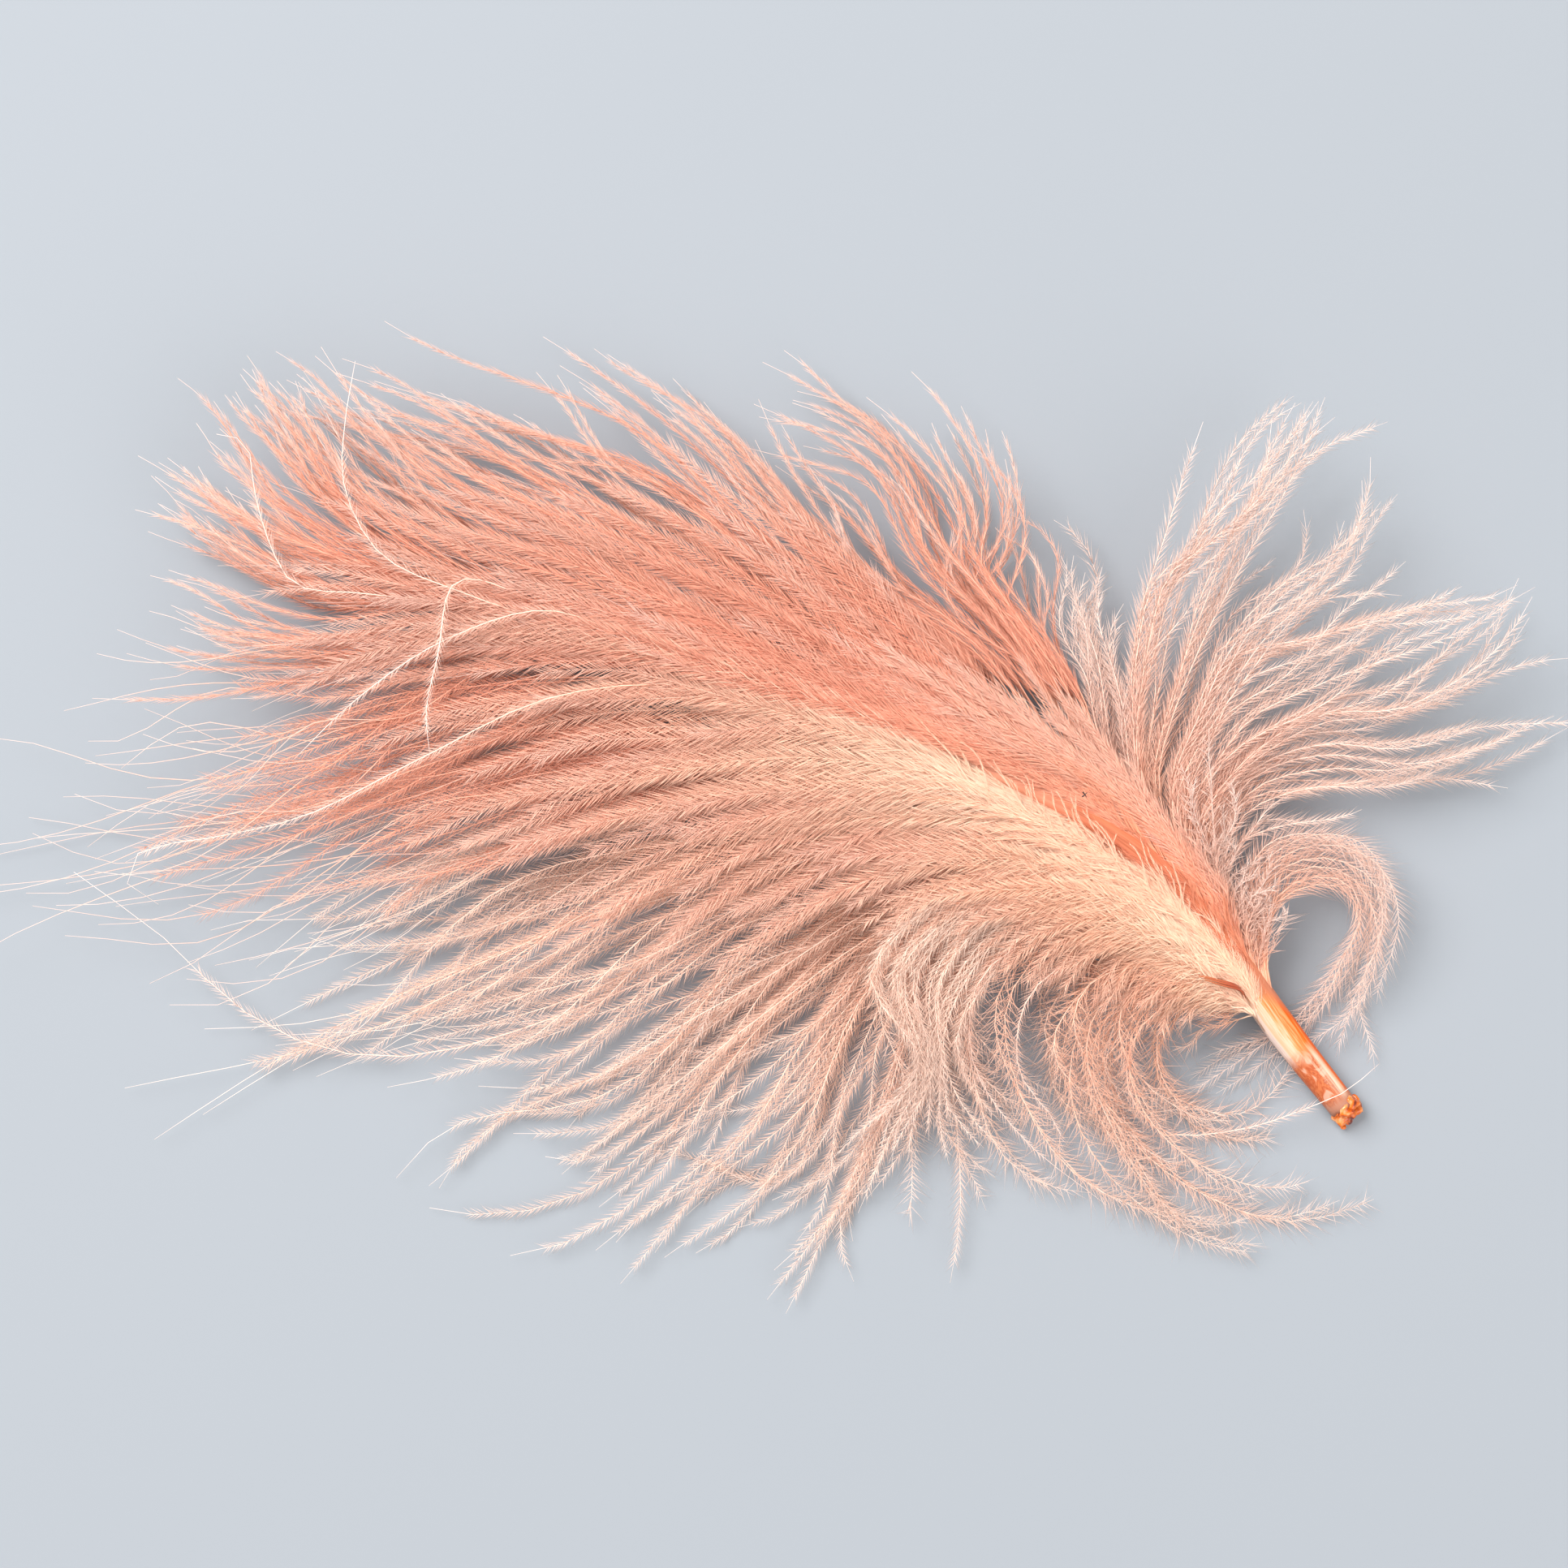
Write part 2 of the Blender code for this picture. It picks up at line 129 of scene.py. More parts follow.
# The shaft: the cut quill is a horny tube, open for a millimetre at the cut, which thins into the
# solid shaft that carries the barbs. Its top shows as an orange groove, dye with painted shade,
# until the barbs cover it.
SHAFT_ROUTE = [
    (34.9, -18.3, 0.96), (30.8, -13.15, 1.9), (27.1, -8.1, 3.8), (22, -2.4, 5.5), (14.5, 1.9, 6.6),
    (7, 5.1, 7), (-1, 7.9, 6.9), (-9, 10.5, 6.5), (-17, 13.3, 5.8), (-24, 16.6, 5.2),
]
SHAFT_RADII = [0.90, 1.04, 0.96, 0.72, 0.56, 0.45, 0.36, 0.28, 0.21, 0.14]
SHAFT_RINGS = 120
SHAFT_SIDES = 28
ROUTE_FINENESS = 8
HOLLOW_DEPTH = 1.3
HOLLOW_RINGS = 5
QUILL_WALL = 0.24
# How far the torn end stands out, how much of that everywhere, and how many tatters to a millimetre.
CUT_RAGGED = 0.55
CUT_LEVEL = 0.5
CUT_TATTERS = 1.7
# The map runs from the bottom of the hollow to the cut, and from there along the outside to the
# thin end. Its height goes once round, less a margin, and the two end caps are small patches.
MAP_ENDS = (0.008, 0.99)
HOLLOW_SHARE = 0.03
CUT_STEP = 0.004
MAP_ROUND = 0.95
CAP_PATCH = (0.004, 0.4)
UP = np.array((0.0, 0.0, 1.0))
TINY = 1e-9


def run_along(line):
    """How far along a line each of its points is."""
    return np.concatenate([[0.0], np.cumsum(np.linalg.norm(np.diff(line, axis=0), axis=1))])


def values_at(places, run, values):
    """Rows of values, given at the places of run, as they are at other places."""
    return np.stack([np.interp(places, run, values[:, axis]) for axis in range(values.shape[1])], axis=1)


def smooth_route(points, count, start=None):
    """A smooth line through the points, given as count points an even distance apart."""
    points = np.array(points, dtype=float)
    at = run_along(points)
    gaps = np.diff(at)
    slopes = np.gradient(points, at, axis=0)
    if start is not None:
        slopes[0] = start
    fine = np.linspace(0.0, at[-1], ROUTE_FINENESS * count)
    span = np.clip(np.searchsorted(at, fine, side="right") - 1, 0, len(gaps) - 1)
    width = gaps[span][:, None]
    part = ((fine - at[span]) / gaps[span])[:, None]
    line = (1 + 2 * part) * (1 - part) ** 2 * points[span]
    line += part * (1 - part) ** 2 * width * slopes[span]
    line += part ** 2 * (3 - 2 * part) * points[span + 1]
    line -= part ** 2 * (1 - part) * width * slopes[span + 1]
    run = run_along(line)
    return values_at(np.linspace(0.0, run[-1], count), run, line)


def frames_along(lines):
    """Unit vectors along, to the left of and above lines of points (..., points, 3)."""
    forward = np.gradient(lines, axis=-2)
    forward /= np.linalg.norm(forward, axis=-1, keepdims=True)
    left = np.cross(UP, forward)
    left /= np.maximum(np.linalg.norm(left, axis=-1, keepdims=True), TINY)
    return forward, left, np.cross(forward, left)


shaft_line = smooth_route(SHAFT_ROUTE, SHAFT_RINGS)
shaft_run = run_along(shaft_line)
shaft_forward, shaft_left, shaft_over = frames_along(shaft_line)
shaft_radius = np.interp(shaft_run, run_along(np.array(SHAFT_ROUTE)), SHAFT_RADII)


def add_node(material, kind, settings=None, links=None):
    """Adds a node: settings fill its sockets or properties, and links feed its sockets."""
    node = material.node_tree.nodes.new(kind)
    for key, value in (settings or {}).items():
        if isinstance(key, int) or key in node.inputs:
            node.inputs[key].default_value = value
        else:
            setattr(node, key, value)
    for key, source in (links or {}).items():
        material.node_tree.links.new(source, node.inputs[key])
    return node


def set_stops(ramp, stops):
    """Gives a colour ramp its stops: a share of the way and an sRGB hex colour each."""
    elements = ramp.color_ramp.elements
    while len(elements) < len(stops):
        elements.new(1.0)
    for element, (share, code) in zip(elements, stops):
        element.position = share
        element.color = linear(code)


def tinted(material, tone, code, guide, start, end):
    """A tone that turns into another colour while a guiding value goes from start to end."""
    share = add_node(material, "ShaderNodeMapRange", {"From Min": start, "From Max": end}, {"Value": guide})
    return add_node(material, "ShaderNodeMix", {"data_type": "RGBA", 7: linear(code)},
                    {"Factor": share.outputs["Result"], 6: tone}).outputs[2]


def horn(name):
    """Dyed amber keratin of the quill: grey-pink and cream on its left side, where the pith shows through,
    with a painted cream highlight along its top and a painted glow of bright orange along its right
    edge. It has fine streaks along its length, a rust patch near the cut, and a low, waxy sheen."""
    material, surface = new_material(name, roughness=0.46)
    surface.inputs["Specular IOR Level"].default_value = 0.35
    # X of the map goes from the hollow over the cut to the thin end, and Y goes round.
    place = add_node(material, "ShaderNodeUVMap", {"uv_map": "OFBake"})
    parts = add_node(material, "ShaderNodeSeparateXYZ", links={"Vector": place.outputs["UV"]})
    # The lengthwise streaks are about 0.2 mm wide and a few millimetres long.
    long_way = add_node(material, "ShaderNodeMapping", {"Scale": (22.0, 34.0, 1.0)},
                        {"Vector": place.outputs["UV"]})
    streaks = add_node(material, "ShaderNodeTexNoise", {"Scale": 1.0, "Detail": 4.0, "Distortion": 0.4},
                       {"Vector": long_way.outputs["Vector"]})
    # They shift the tones that follow each other round the quill, so that no edge is straight.
    around = add_node(material, "ShaderNodeMath", {"operation": "MULTIPLY_ADD", 1: 0.28, 2: -0.14},
                      {0: streaks.outputs["Fac"]})
    shifted = add_node(material, "ShaderNodeMath", {"operation": "ADD"},
                       {0: parts.outputs["Y"], 1: around.outputs[0]})
    # Round the quill the tones hold painted light: the cream along its top is a painted highlight, and the
    # bright orange along its right edge is a painted glow.
    quill_tone_with_painted_light = add_node(material, "ShaderNodeValToRGB", links={"Fac": shifted.outputs[0]})
    set_stops(quill_tone_with_painted_light, [(0.00, "#A88C80"), (0.06, "#D6BEB4"), (0.11, "#E0BFA6"), (0.16, "#DCA682"),
                           (0.20, "#E0B89C"), (0.25, "#D28C52"), (0.29, "#CE6A24"), (0.32, "#DA9660"),
                           (0.35, "#D8742C"), (0.38, "#DE5E00"), (0.45, "#DC5600"), (0.70, "#B0561A"),
                           (0.95, "#A88C80")])
    # The groove's deep orange is dye and painted shade of its trough, darkest along the middle of its top.
    groove_tone_and_shade = add_node(material, "ShaderNodeValToRGB", links={"Fac": shifted.outputs[0]})
    set_stops(groove_tone_and_shade, [(0.00, "#C07050"), (0.15, "#CC7A5A"), (0.21, "#C06C4A"), (0.245, "#A85838"),
                            (0.28, "#C06C4A"), (0.40, "#CC7C5A"), (0.95, "#C07050")])
    # The cream of the quill runs out in a slant: sooner on the right side than on the left.
    slant = add_node(material, "ShaderNodeMath", {"operation": "MULTIPLY_ADD", 1: 0.19},
                     {0: parts.outputs["Y"], 2: parts.outputs["X"]})
    to_groove = add_node(material, "ShaderNodeMapRange", {"From Min": 0.200, "From Max": 0.225},
                         {"Value": slant.outputs[0]})
    length_tone = add_node(material, "ShaderNodeMix", {"data_type": "RGBA"},
                           {"Factor": to_groove.outputs["Result"], 6: quill_tone_with_painted_light.outputs["Color"],
                            7: groove_tone_and_shade.outputs["Color"]})
    # Towards its thin end the shaft is a paler peach.
    paled_tone = tinted(material, length_tone.outputs[2], "#DA9C80", parts.outputs["X"],
                        start=0.37, end=0.48)
    # Rust staining from the dye in the last 5 mm before the cut, in blots of about 1 mm, with a pale
    # pink band along its right side.
    blot_places = add_node(material, "ShaderNodeMapping", {"Scale": (60.0, 8.0, 1.0)},
                           {"Vector": place.outputs["UV"]})
    blots = add_node(material, "ShaderNodeTexNoise", {"Scale": 1.0, "Detail": 3.0, "Distortion": 0.9},
                     {"Vector": blot_places.outputs["Vector"]})
    near_cut = add_node(material, "ShaderNodeMapRange", {"From Min": 0.100, "From Max": 0.084},
                        {"Value": parts.outputs["X"]})
    off_end = add_node(material, "ShaderNodeMapRange", {"From Min": 0.034, "From Max": 0.042},
                       {"Value": parts.outputs["X"]})
    stained = add_node(material, "ShaderNodeMath", {"operation": "MULTIPLY"},
                       {0: near_cut.outputs["Result"], 1: off_end.outputs["Result"]})
    # The right edge keeps its painted glow of bright orange, free of rust.
    painted_glow_edge = add_node(material, "ShaderNodeMapRange", {"From Min": 0.40, "From Max": 0.34},
                          {"Value": parts.outputs["Y"]})
    rust = add_node(material, "ShaderNodeMath", {"operation": "MULTIPLY"},
                    {0: stained.outputs[0], 1: painted_glow_edge.outputs["Result"]})
    blot_tone = add_node(material, "ShaderNodeValToRGB", links={"Fac": blots.outputs["Fac"]})
    set_stops(blot_tone, [(0.36, "#CC957C"), (0.43, "#BC6A42"), (0.50, "#A84C24"), (0.56, "#C26C3E"),
                          (0.61, "#9C4018"), (0.66, "#C88C6E")])
    patch_tone = tinted(material, blot_tone.outputs["Color"], "#E2BEA4", shifted.outputs[0],
                        start=0.26, end=0.34)
    stained_tone = add_node(material, "ShaderNodeMix", {"data_type": "RGBA"},
                            {"Factor": rust.outputs[0], 6: paled_tone, 7: patch_tone})
    # The very end has dried to a dull pinkish brown.
    dried_tone = tinted(material, stained_tone.outputs[2], "#A87058", parts.outputs["X"],
                        start=0.050, end=0.038)
    # Inside the cut end the wall is bare, and coloured a dark amber.
    final_tone = tinted(material, dried_tone, "#8A3C10", parts.outputs["X"],
                        start=HOLLOW_SHARE + 0.004, end=HOLLOW_SHARE - 0.002)
    material.node_tree.links.new(final_tone, surface.inputs["Base Color"])
    # The streaks stand up by less than 0.05 mm, which is enough to break the shine.
    ridges = add_node(material, "ShaderNodeBump", {"Strength": 0.25, "Distance": 0.00005},
                      {"Height": streaks.outputs["Fac"]})
    material.node_tree.links.new(ridges.outputs["Normal"], surface.inputs["Normal"])
    return material


def next_ring(shape, edges):
    """Extrudes a ring of edges once, and gives the corners and edges of the new ring."""
    made = bmesh.ops.extrude_edge_only(shape, edges=edges)["geom"]
    corners = [item for item in made if isinstance(item, bmesh.types.BMVert)]
    ring = [item for item in made if isinstance(item, bmesh.types.BMEdge)
            and all(vert in corners for vert in item.verts)]
    return corners, ring


def tube(centres, left, over, radii, shares, sides):
    """A closed tube from a capped circle extruded ring by ring, with its map along and round it."""
    shape = bmesh.new()
    bmesh.ops.create_circle(shape, cap_ends=True, segments=sides, radius=1.0)
    edges = list(shape.edges)
    corners = {vert: vert.co.copy() for vert in shape.verts}
    places = {}
    rings = []
    for number, share in enumerate(shares):
        if number:
            fresh, edges = next_ring(shape, edges)
            corners = {vert: min(corners.items(), key=lambda old: (old[0].co - vert.co).length)[1]
                       for vert in fresh}
        for vert, corner in corners.items():
            out = corner.x * left[number] + corner.y * over[number]
            vert.co = Vector((centres[number] + radii[number] * out) * MM)
            places[vert] = (share, np.arctan2(corner.y, corner.x) / (2 * np.pi) % 1.0, corner)
        rings.append(list(corners))
    bmesh.ops.contextual_create(shape, geom=edges)
    flat_map = shape.loops.layers.uv.new("OFBake")
    for face in shape.faces:
        turns = [places[loop.vert][1] for loop in face.loops]
        wraps = max(turns) - min(turns) > 0.5
        for loop, turn in zip(face.loops, turns):
            share, _, corner = places[loop.vert]
            if len(face.verts) > 4:
                loop[flat_map].uv = (share + CAP_PATCH[0] * corner.x, 0.5 + CAP_PATCH[1] * corner.y)
            else:
                loop[flat_map].uv = (share, MAP_ROUND * (turn + 1.0 if wraps and turn < 0.5 else turn))
    bmesh.ops.recalc_face_normals(shape, faces=shape.faces)
    return shape, rings


inner_run = np.linspace(HOLLOW_DEPTH, 0.0, HOLLOW_RINGS)
ring_run = np.concatenate([inner_run, shaft_run])
ring_radii = np.concatenate([np.interp(inner_run, shaft_run, shaft_radius) - QUILL_WALL, shaft_radius])
outer_shares = HOLLOW_SHARE + (MAP_ENDS[1] - HOLLOW_SHARE) * shaft_run / shaft_run[-1]
ring_shares = np.concatenate([np.linspace(MAP_ENDS[0], HOLLOW_SHARE - CUT_STEP, HOLLOW_RINGS), outer_shares])
ring_centres, ring_left, ring_over = [values_at(ring_run, shaft_run, field)
                                      for field in (shaft_line, shaft_left, shaft_over)]
shaft_shape, shaft_rings = tube(ring_centres, ring_left, ring_over, ring_radii, ring_shares, SHAFT_SIDES)
# The knife left the end ragged.
for ring in shaft_rings[HOLLOW_RINGS - 1:HOLLOW_RINGS + 1]:
    for vert in ring:
        tatter = CUT_LEVEL + noise.noise(vert.co / MM * CUT_TATTERS)
        vert.co += Vector(shaft_forward[0]) * CUT_RAGGED * MM * tatter
shaft = add_piece("quill_and_shaft", shaft_shape, horn("dyed quill horn"))
for polygon in shaft.data.polygons:
    polygon.use_smooth = True
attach(shaft, "root")
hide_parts("feather")

# The pith: crumbs of it, soaked with dye and dried hard, cling round the cut end of the quill, and
# one has dropped beside it. Each is given by its place and its radius.
PITH_CRUMBS = [
    (35.2, -17.85, 1.35, 0.5), (34.8, -18.3, 1.5, 0.46), (35.35, -18.3, 0.85, 0.5),
    (34.6, -18.75, 0.85, 0.42), (35, -18.85, 0.5, 0.46), (34.3, -18.5, 1.15, 0.32),
    (35.45, -17.75, 0.75, 0.36), (34.85, -19.4, 0.22, 0.2),
]
# How much of its radius a crumb's lumps add or take, how many there are to a millimetre, and how far
# apart in the noise each crumb lies from the next, so that no two are alike.
CRUMB_LUMPS = 0.768
CRUMB_LUMPS_PER_MM = 2.6
CRUMBS_APART = 9.0


def dried_pith(name):
    """Pith soaked with dye: a glassy orange amber with dark brown and pale spots."""
    material, surface = new_material(name, roughness=0.2)
    spot = add_node(material, "ShaderNodeTexCoord")
    # The spots are about 0.6 mm apart.
    grain = add_node(material, "ShaderNodeTexNoise", {"Scale": 1600.0, "Detail": 2.0},
                     {"Vector": spot.outputs["Object"]})
    tone = add_node(material, "ShaderNodeValToRGB", links={"Fac": grain.outputs["Fac"]})
    set_stops(tone, [(0.34, "#6A2408"), (0.42, "#BC4C0C"), (0.52, "#DC6C10"), (0.64, "#E09C68")])
    material.node_tree.links.new(tone.outputs["Color"], surface.inputs["Base Color"])
    return material


pith_shape = bmesh.new()
for *crumb_place, crumb_radius in PITH_CRUMBS:
    made = bmesh.ops.create_icosphere(pith_shape, subdivisions=3, radius=crumb_radius * MM)["verts"]
    for vert in made:
        lump = noise.noise(vert.co / MM * CRUMB_LUMPS_PER_MM + Vector(crumb_place) * CRUMBS_APART)
        vert.co *= 1.0 + CRUMB_LUMPS * lump
    bmesh.ops.translate(pith_shape, verts=made, vec=Vector(crumb_place) * MM)
    # The lowest crumbs rest on the paper.
    for vert in made:
        vert.co.z = max(vert.co.z, 0.0)
pith = add_piece("pith_crumbs", pith_shape, dried_pith("dried pith"))
for polygon in pith.data.polygons:
    polygon.use_smooth = True
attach(pith, "root")
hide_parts("feather")

# The barbs: soft flattened rods that leave the shaft at a sharp angle and taper to hair-thin tips.
# On both sides each carries barbules, finer hairs that stand off it and make the plume downy.
LINE_POINTS = 21
LEFT = 1
RIGHT = -1
SEED = 71
# Each pair is shares of the way from a barb's root to its tip, and the values there. The angles, and
# how uneven they are, are in degrees.
BARB_HALF_WIDTH = ([0.0, 0.08, 0.22, 0.6, 1.0], [0.10, 0.09, 0.050, 0.043, 0.016])
BARB_HALF_HEIGHT = ([0.0, 0.08, 0.22, 0.6, 1.0], [0.045, 0.045, 0.036, 0.032, 0.014])
BARBULE_LENGTH = ([0.0, 0.1, 0.3, 0.8, 1.0], [1.2, 1.7, 1.75, 1.4, 0.8])
BARBULE_ANGLE = ([0.0, 0.08, 0.2, 0.6, 1.0], [9.0, 12.0, 25.0, 30.0, 28.0])
BARBULE_UNEVEN = ([0.08, 0.25], [3.0, 10.0])
# Real barbules are far finer and closer. They are drawn this thick, and fewer, so that they show.
BARBULE_RADIUS = 0.024
# The least height above the paper, of a barb's middle and of a barbule's tip.
LOWEST = 0.13
HAIR_LOWEST = 0.05
# A barb is rooted on the flank of the shaft, this many radii out and up, and leans ahead by this.
ROOT_OUT = 0.80
ROOT_UP = 0.45
ROOT_LEAN = 0.9
# Locks that lie on a guide stray less than the others, and a lock can be shorter by this share.
GUIDE_LOOSENESS = 0.2
LOCK_SHORTER = 0.14
# Where in its own slot of the gap a barb may stand. The higher the power, the fewer are short.
GAP_MARGINS = (0.05, 0.95)
SHORT_POWER = 1.6
# How late along a barb it is drawn to its lock, sways off its line, and sinks below the top ones.
CLUMP_POWER = 1.4
SWAY_POWER = 1.3
SINK_SHARE = 0.35
# Waves along a barb and along a lock, and their size.
BARB_WAVES = (0.8, 2.6)
BARB_SWAY = 0.55
LOCK_WAVES = (0.5, 1.5)
LOCK_SWAY = 0.5
# How far barbs sink towards the paper, as a share of their height: the top ones and the rest.
TOP_SINKS = (0.0, 0.10)
REST_SINKS = (0.2, 0.85)


def grown_from(row, flank):
    """The line of one guide, from the left or the right flank of the shaft. Its row says how many
    millimetres from the cut it is rooted, and which points it goes through."""
    station, points = row
    spot = int(np.argmin(np.abs(shaft_run - station)))
    out = ROOT_OUT * flank * shaft_left[spot] + ROOT_UP * shaft_over[spot]
    root = shaft_line[spot] + shaft_radius[spot] * out
    away = np.array(points[0]) - root
    start = away / np.linalg.norm(away) + ROOT_LEAN * shaft_forward[spot]
    return smooth_route([root] + points, LINE_POINTS, start / np.linalg.norm(start))


def barbs_between(guides, per_gap, locks_a_gap, clump, shortest, spread, on_top, chance):
    """Lines of single barbs (barbs, points, 3) that fill the gaps between neighbouring guides. They
    draw together into small locks, and every guide is the middle of one."""
    gaps = len(guides) - 1
    count = gaps * per_gap
    locks = gaps * locks_a_gap + 1
    loose = np.where(np.arange(locks) % locks_a_gap == 0, GUIDE_LOOSENESS, 1.0)[:, None]
    where = (np.arange(count) + chance.uniform(*GAP_MARGINS, count)) / per_gap
    lock = np.round(where * locks_a_gap).astype(int)
    share = np.linspace(0.0, 1.0, LINE_POINTS)
    pull = chance.uniform(*clump, (count, 1)) * share ** CLUMP_POWER
    mix = where[:, None] + (lock / locks_a_gap - where)[:, None] * pull
    first = np.clip(mix.astype(int), 0, gaps - 1)
    part = (mix - first)[..., None]
    points = np.arange(LINE_POINTS)
    lines = guides[first, points] * (1 - part) + guides[first + 1, points] * part
    lock_reach = 1.0 - LOCK_SHORTER * loose * chance.uniform(0.0, 1.0, (locks, 1))
    shorter = (1.0 - shortest) * chance.uniform(0.0, 1.0, (count, 1)) ** SHORT_POWER
    place = share * ((1.0 - shorter) * lock_reach[lock]) * (LINE_POINTS - 1)
    low = np.minimum(place.astype(int), LINE_POINTS - 2)
    part = (place - low)[..., None]
    each = np.arange(count)[:, None]
    lines = lines[each, low] * (1 - part) + lines[each, low + 1] * part
    _, left, _ = frames_along(lines)
    waves = chance.uniform(*BARB_WAVES, (count, 1))
    phase = chance.uniform(0.0, 2 * np.pi, (count, 1))
    sway = BARB_SWAY * spread * (np.sin(2 * np.pi * waves * share + phase) - np.sin(phase))
    lock_waves = chance.uniform(*LOCK_WAVES, (locks, 1))
    lock_phase = chance.uniform(0.0, 2 * np.pi, (locks, 1))
    lock_sway = loose * (np.sin(2 * np.pi * lock_waves * share + lock_phase) - np.sin(lock_phase))
    lock_drift = loose * chance.normal(0.0, spread, (locks, 1))
    drift = chance.normal(0.0, spread, (count, 1)) + lock_drift[lock]
    lines = lines + left * ((sway + LOCK_SWAY * lock_sway[lock] + drift) * share ** SWAY_POWER)[..., None]
    sink = np.where(chance.uniform(size=(count, 1)) < on_top, chance.uniform(*TOP_SINKS, (count, 1)),
                    chance.uniform(*REST_SINKS, (count, 1)))
    settled = 1.0 - sink * np.clip(share / SINK_SHARE, 0.0, 1.0)
    lines[..., 2] = np.maximum(lines[..., 2] * settled, LOWEST)
    return lines


def as_arrays(shape):
    """The corners and triangles of a closed bmesh."""
    bmesh.ops.triangulate(shape, faces=shape.faces)
    bmesh.ops.recalc_face_normals(shape, faces=shape.faces)
    shape.verts.index_update()
    corners = np.array([vert.co for vert in shape.verts])
    triangles = np.array([[vert.index for vert in face.verts] for face in shape.faces])
    shape.free()
    return corners, triangles


rod_shape = bmesh.new()
bmesh.ops.create_circle(rod_shape, cap_ends=True, segments=3, radius=1.0)
rod_edges = list(rod_shape.edges)
for _ in range(LINE_POINTS - 1):
    rod_corners, rod_edges = next_ring(rod_shape, rod_edges)
    bmesh.ops.translate(rod_shape, verts=rod_corners, vec=(0.0, 0.0, 1.0))
bmesh.ops.contextual_create(rod_shape, geom=rod_edges)
ROD = as_arrays(rod_shape)

needle_shape = bmesh.new()
bmesh.ops.create_cone(needle_shape, cap_ends=True, segments=3, radius1=1.0, radius2=0.0, depth=1.0)
bmesh.ops.remove_doubles(needle_shape, verts=needle_shape.verts, dist=0.0001)
bmesh.ops.translate(needle_shape, verts=needle_shape.verts, vec=(0.0, 0.0, 0.5))
NEEDLE = as_arrays(needle_shape)

# On the map of the down X runs from the roots to the tips. Y is cut into one strip for each tone that
# a barb can have, and a barb or a barbule takes up this much of it to both sides of its middle.
TONES = 16
BARB_STRIP = 0.2
BARBULE_STRIP = 0.25
BARB_MAP_START = 0.01
BARB_MAP_LENGTH = 0.98
BARBULE_MAP_LENGTH = 0.03
BARBULE_MAP_ENDS = (0.005, 0.995)
# Each barb's bare tip is its group's, times a number in this range. Its barbules are off their places
# by this share of the spacing, roll round it by this many radians, and are shorter or longer by these
# shares.
BARE_TIP_RANGE = (0.5, 1.3)
BARBULE_SHIFT = 0.4
BARBULE_ROLL = 0.35
BARBULE_SHORTER = 0.4
BARBULE_LONGER = 0.15


def joined_piece(name, points, triangles, places, material):
    """One object of many like copies: points and places (copies, corners, ...), triangles of one."""
    copies, corners = points.shape[:2]
    every = (triangles[None] + corners * np.arange(copies)[:, None, None]).reshape(-1)
    mesh = bpy.data.meshes.new(name)
    mesh.vertices.add(copies * corners)
    mesh.vertices.foreach_set("co", (points * MM).astype(np.float32).reshape(-1))
    mesh.loops.add(len(every))
    mesh.loops.foreach_set("vertex_index", every.astype(np.int32))
    mesh.polygons.add(len(every) // 3)
    mesh.polygons.foreach_set("loop_start", np.arange(0, len(every), 3, dtype=np.int32))
    layer = mesh.uv_layers.new(name="OFBake")
    layer.uv.foreach_set("vector", places.reshape(-1, 2)[every].astype(np.float32).reshape(-1))
    mesh.update(calc_edges=True)
    mesh.materials.append(material)
    piece = bpy.data.objects.new(name, mesh)
    bpy.context.scene.collection.objects.link(piece)
    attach(piece, "root")
    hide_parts("feather")


def barb_piece(name, lines, tones, material, broad):
    """Barbs along the lines, broad times the usual width."""
    _, left, over = frames_along(lines)
    corners, triangles = ROD
    ring = np.round(corners[:, 2]).astype(int)
    share = np.linspace(0.0, 1.0, LINE_POINTS)[ring]
    wide = (corners[:, 0] * broad * np.interp(share, *BARB_HALF_WIDTH))[None, :, None]
    high = (corners[:, 1] * np.interp(share, *BARB_HALF_HEIGHT))[None, :, None]
    points = lines[:, ring] + left[:, ring] * wide + over[:, ring] * high
    across = (tones[:, None] + 0.5 + BARB_STRIP * corners[None, :, 0]) / TONES
    along = np.broadcast_to(BARB_MAP_START + BARB_MAP_LENGTH * share, across.shape)
    joined_piece(name, points, triangles, np.stack([along, across], axis=-1), material)


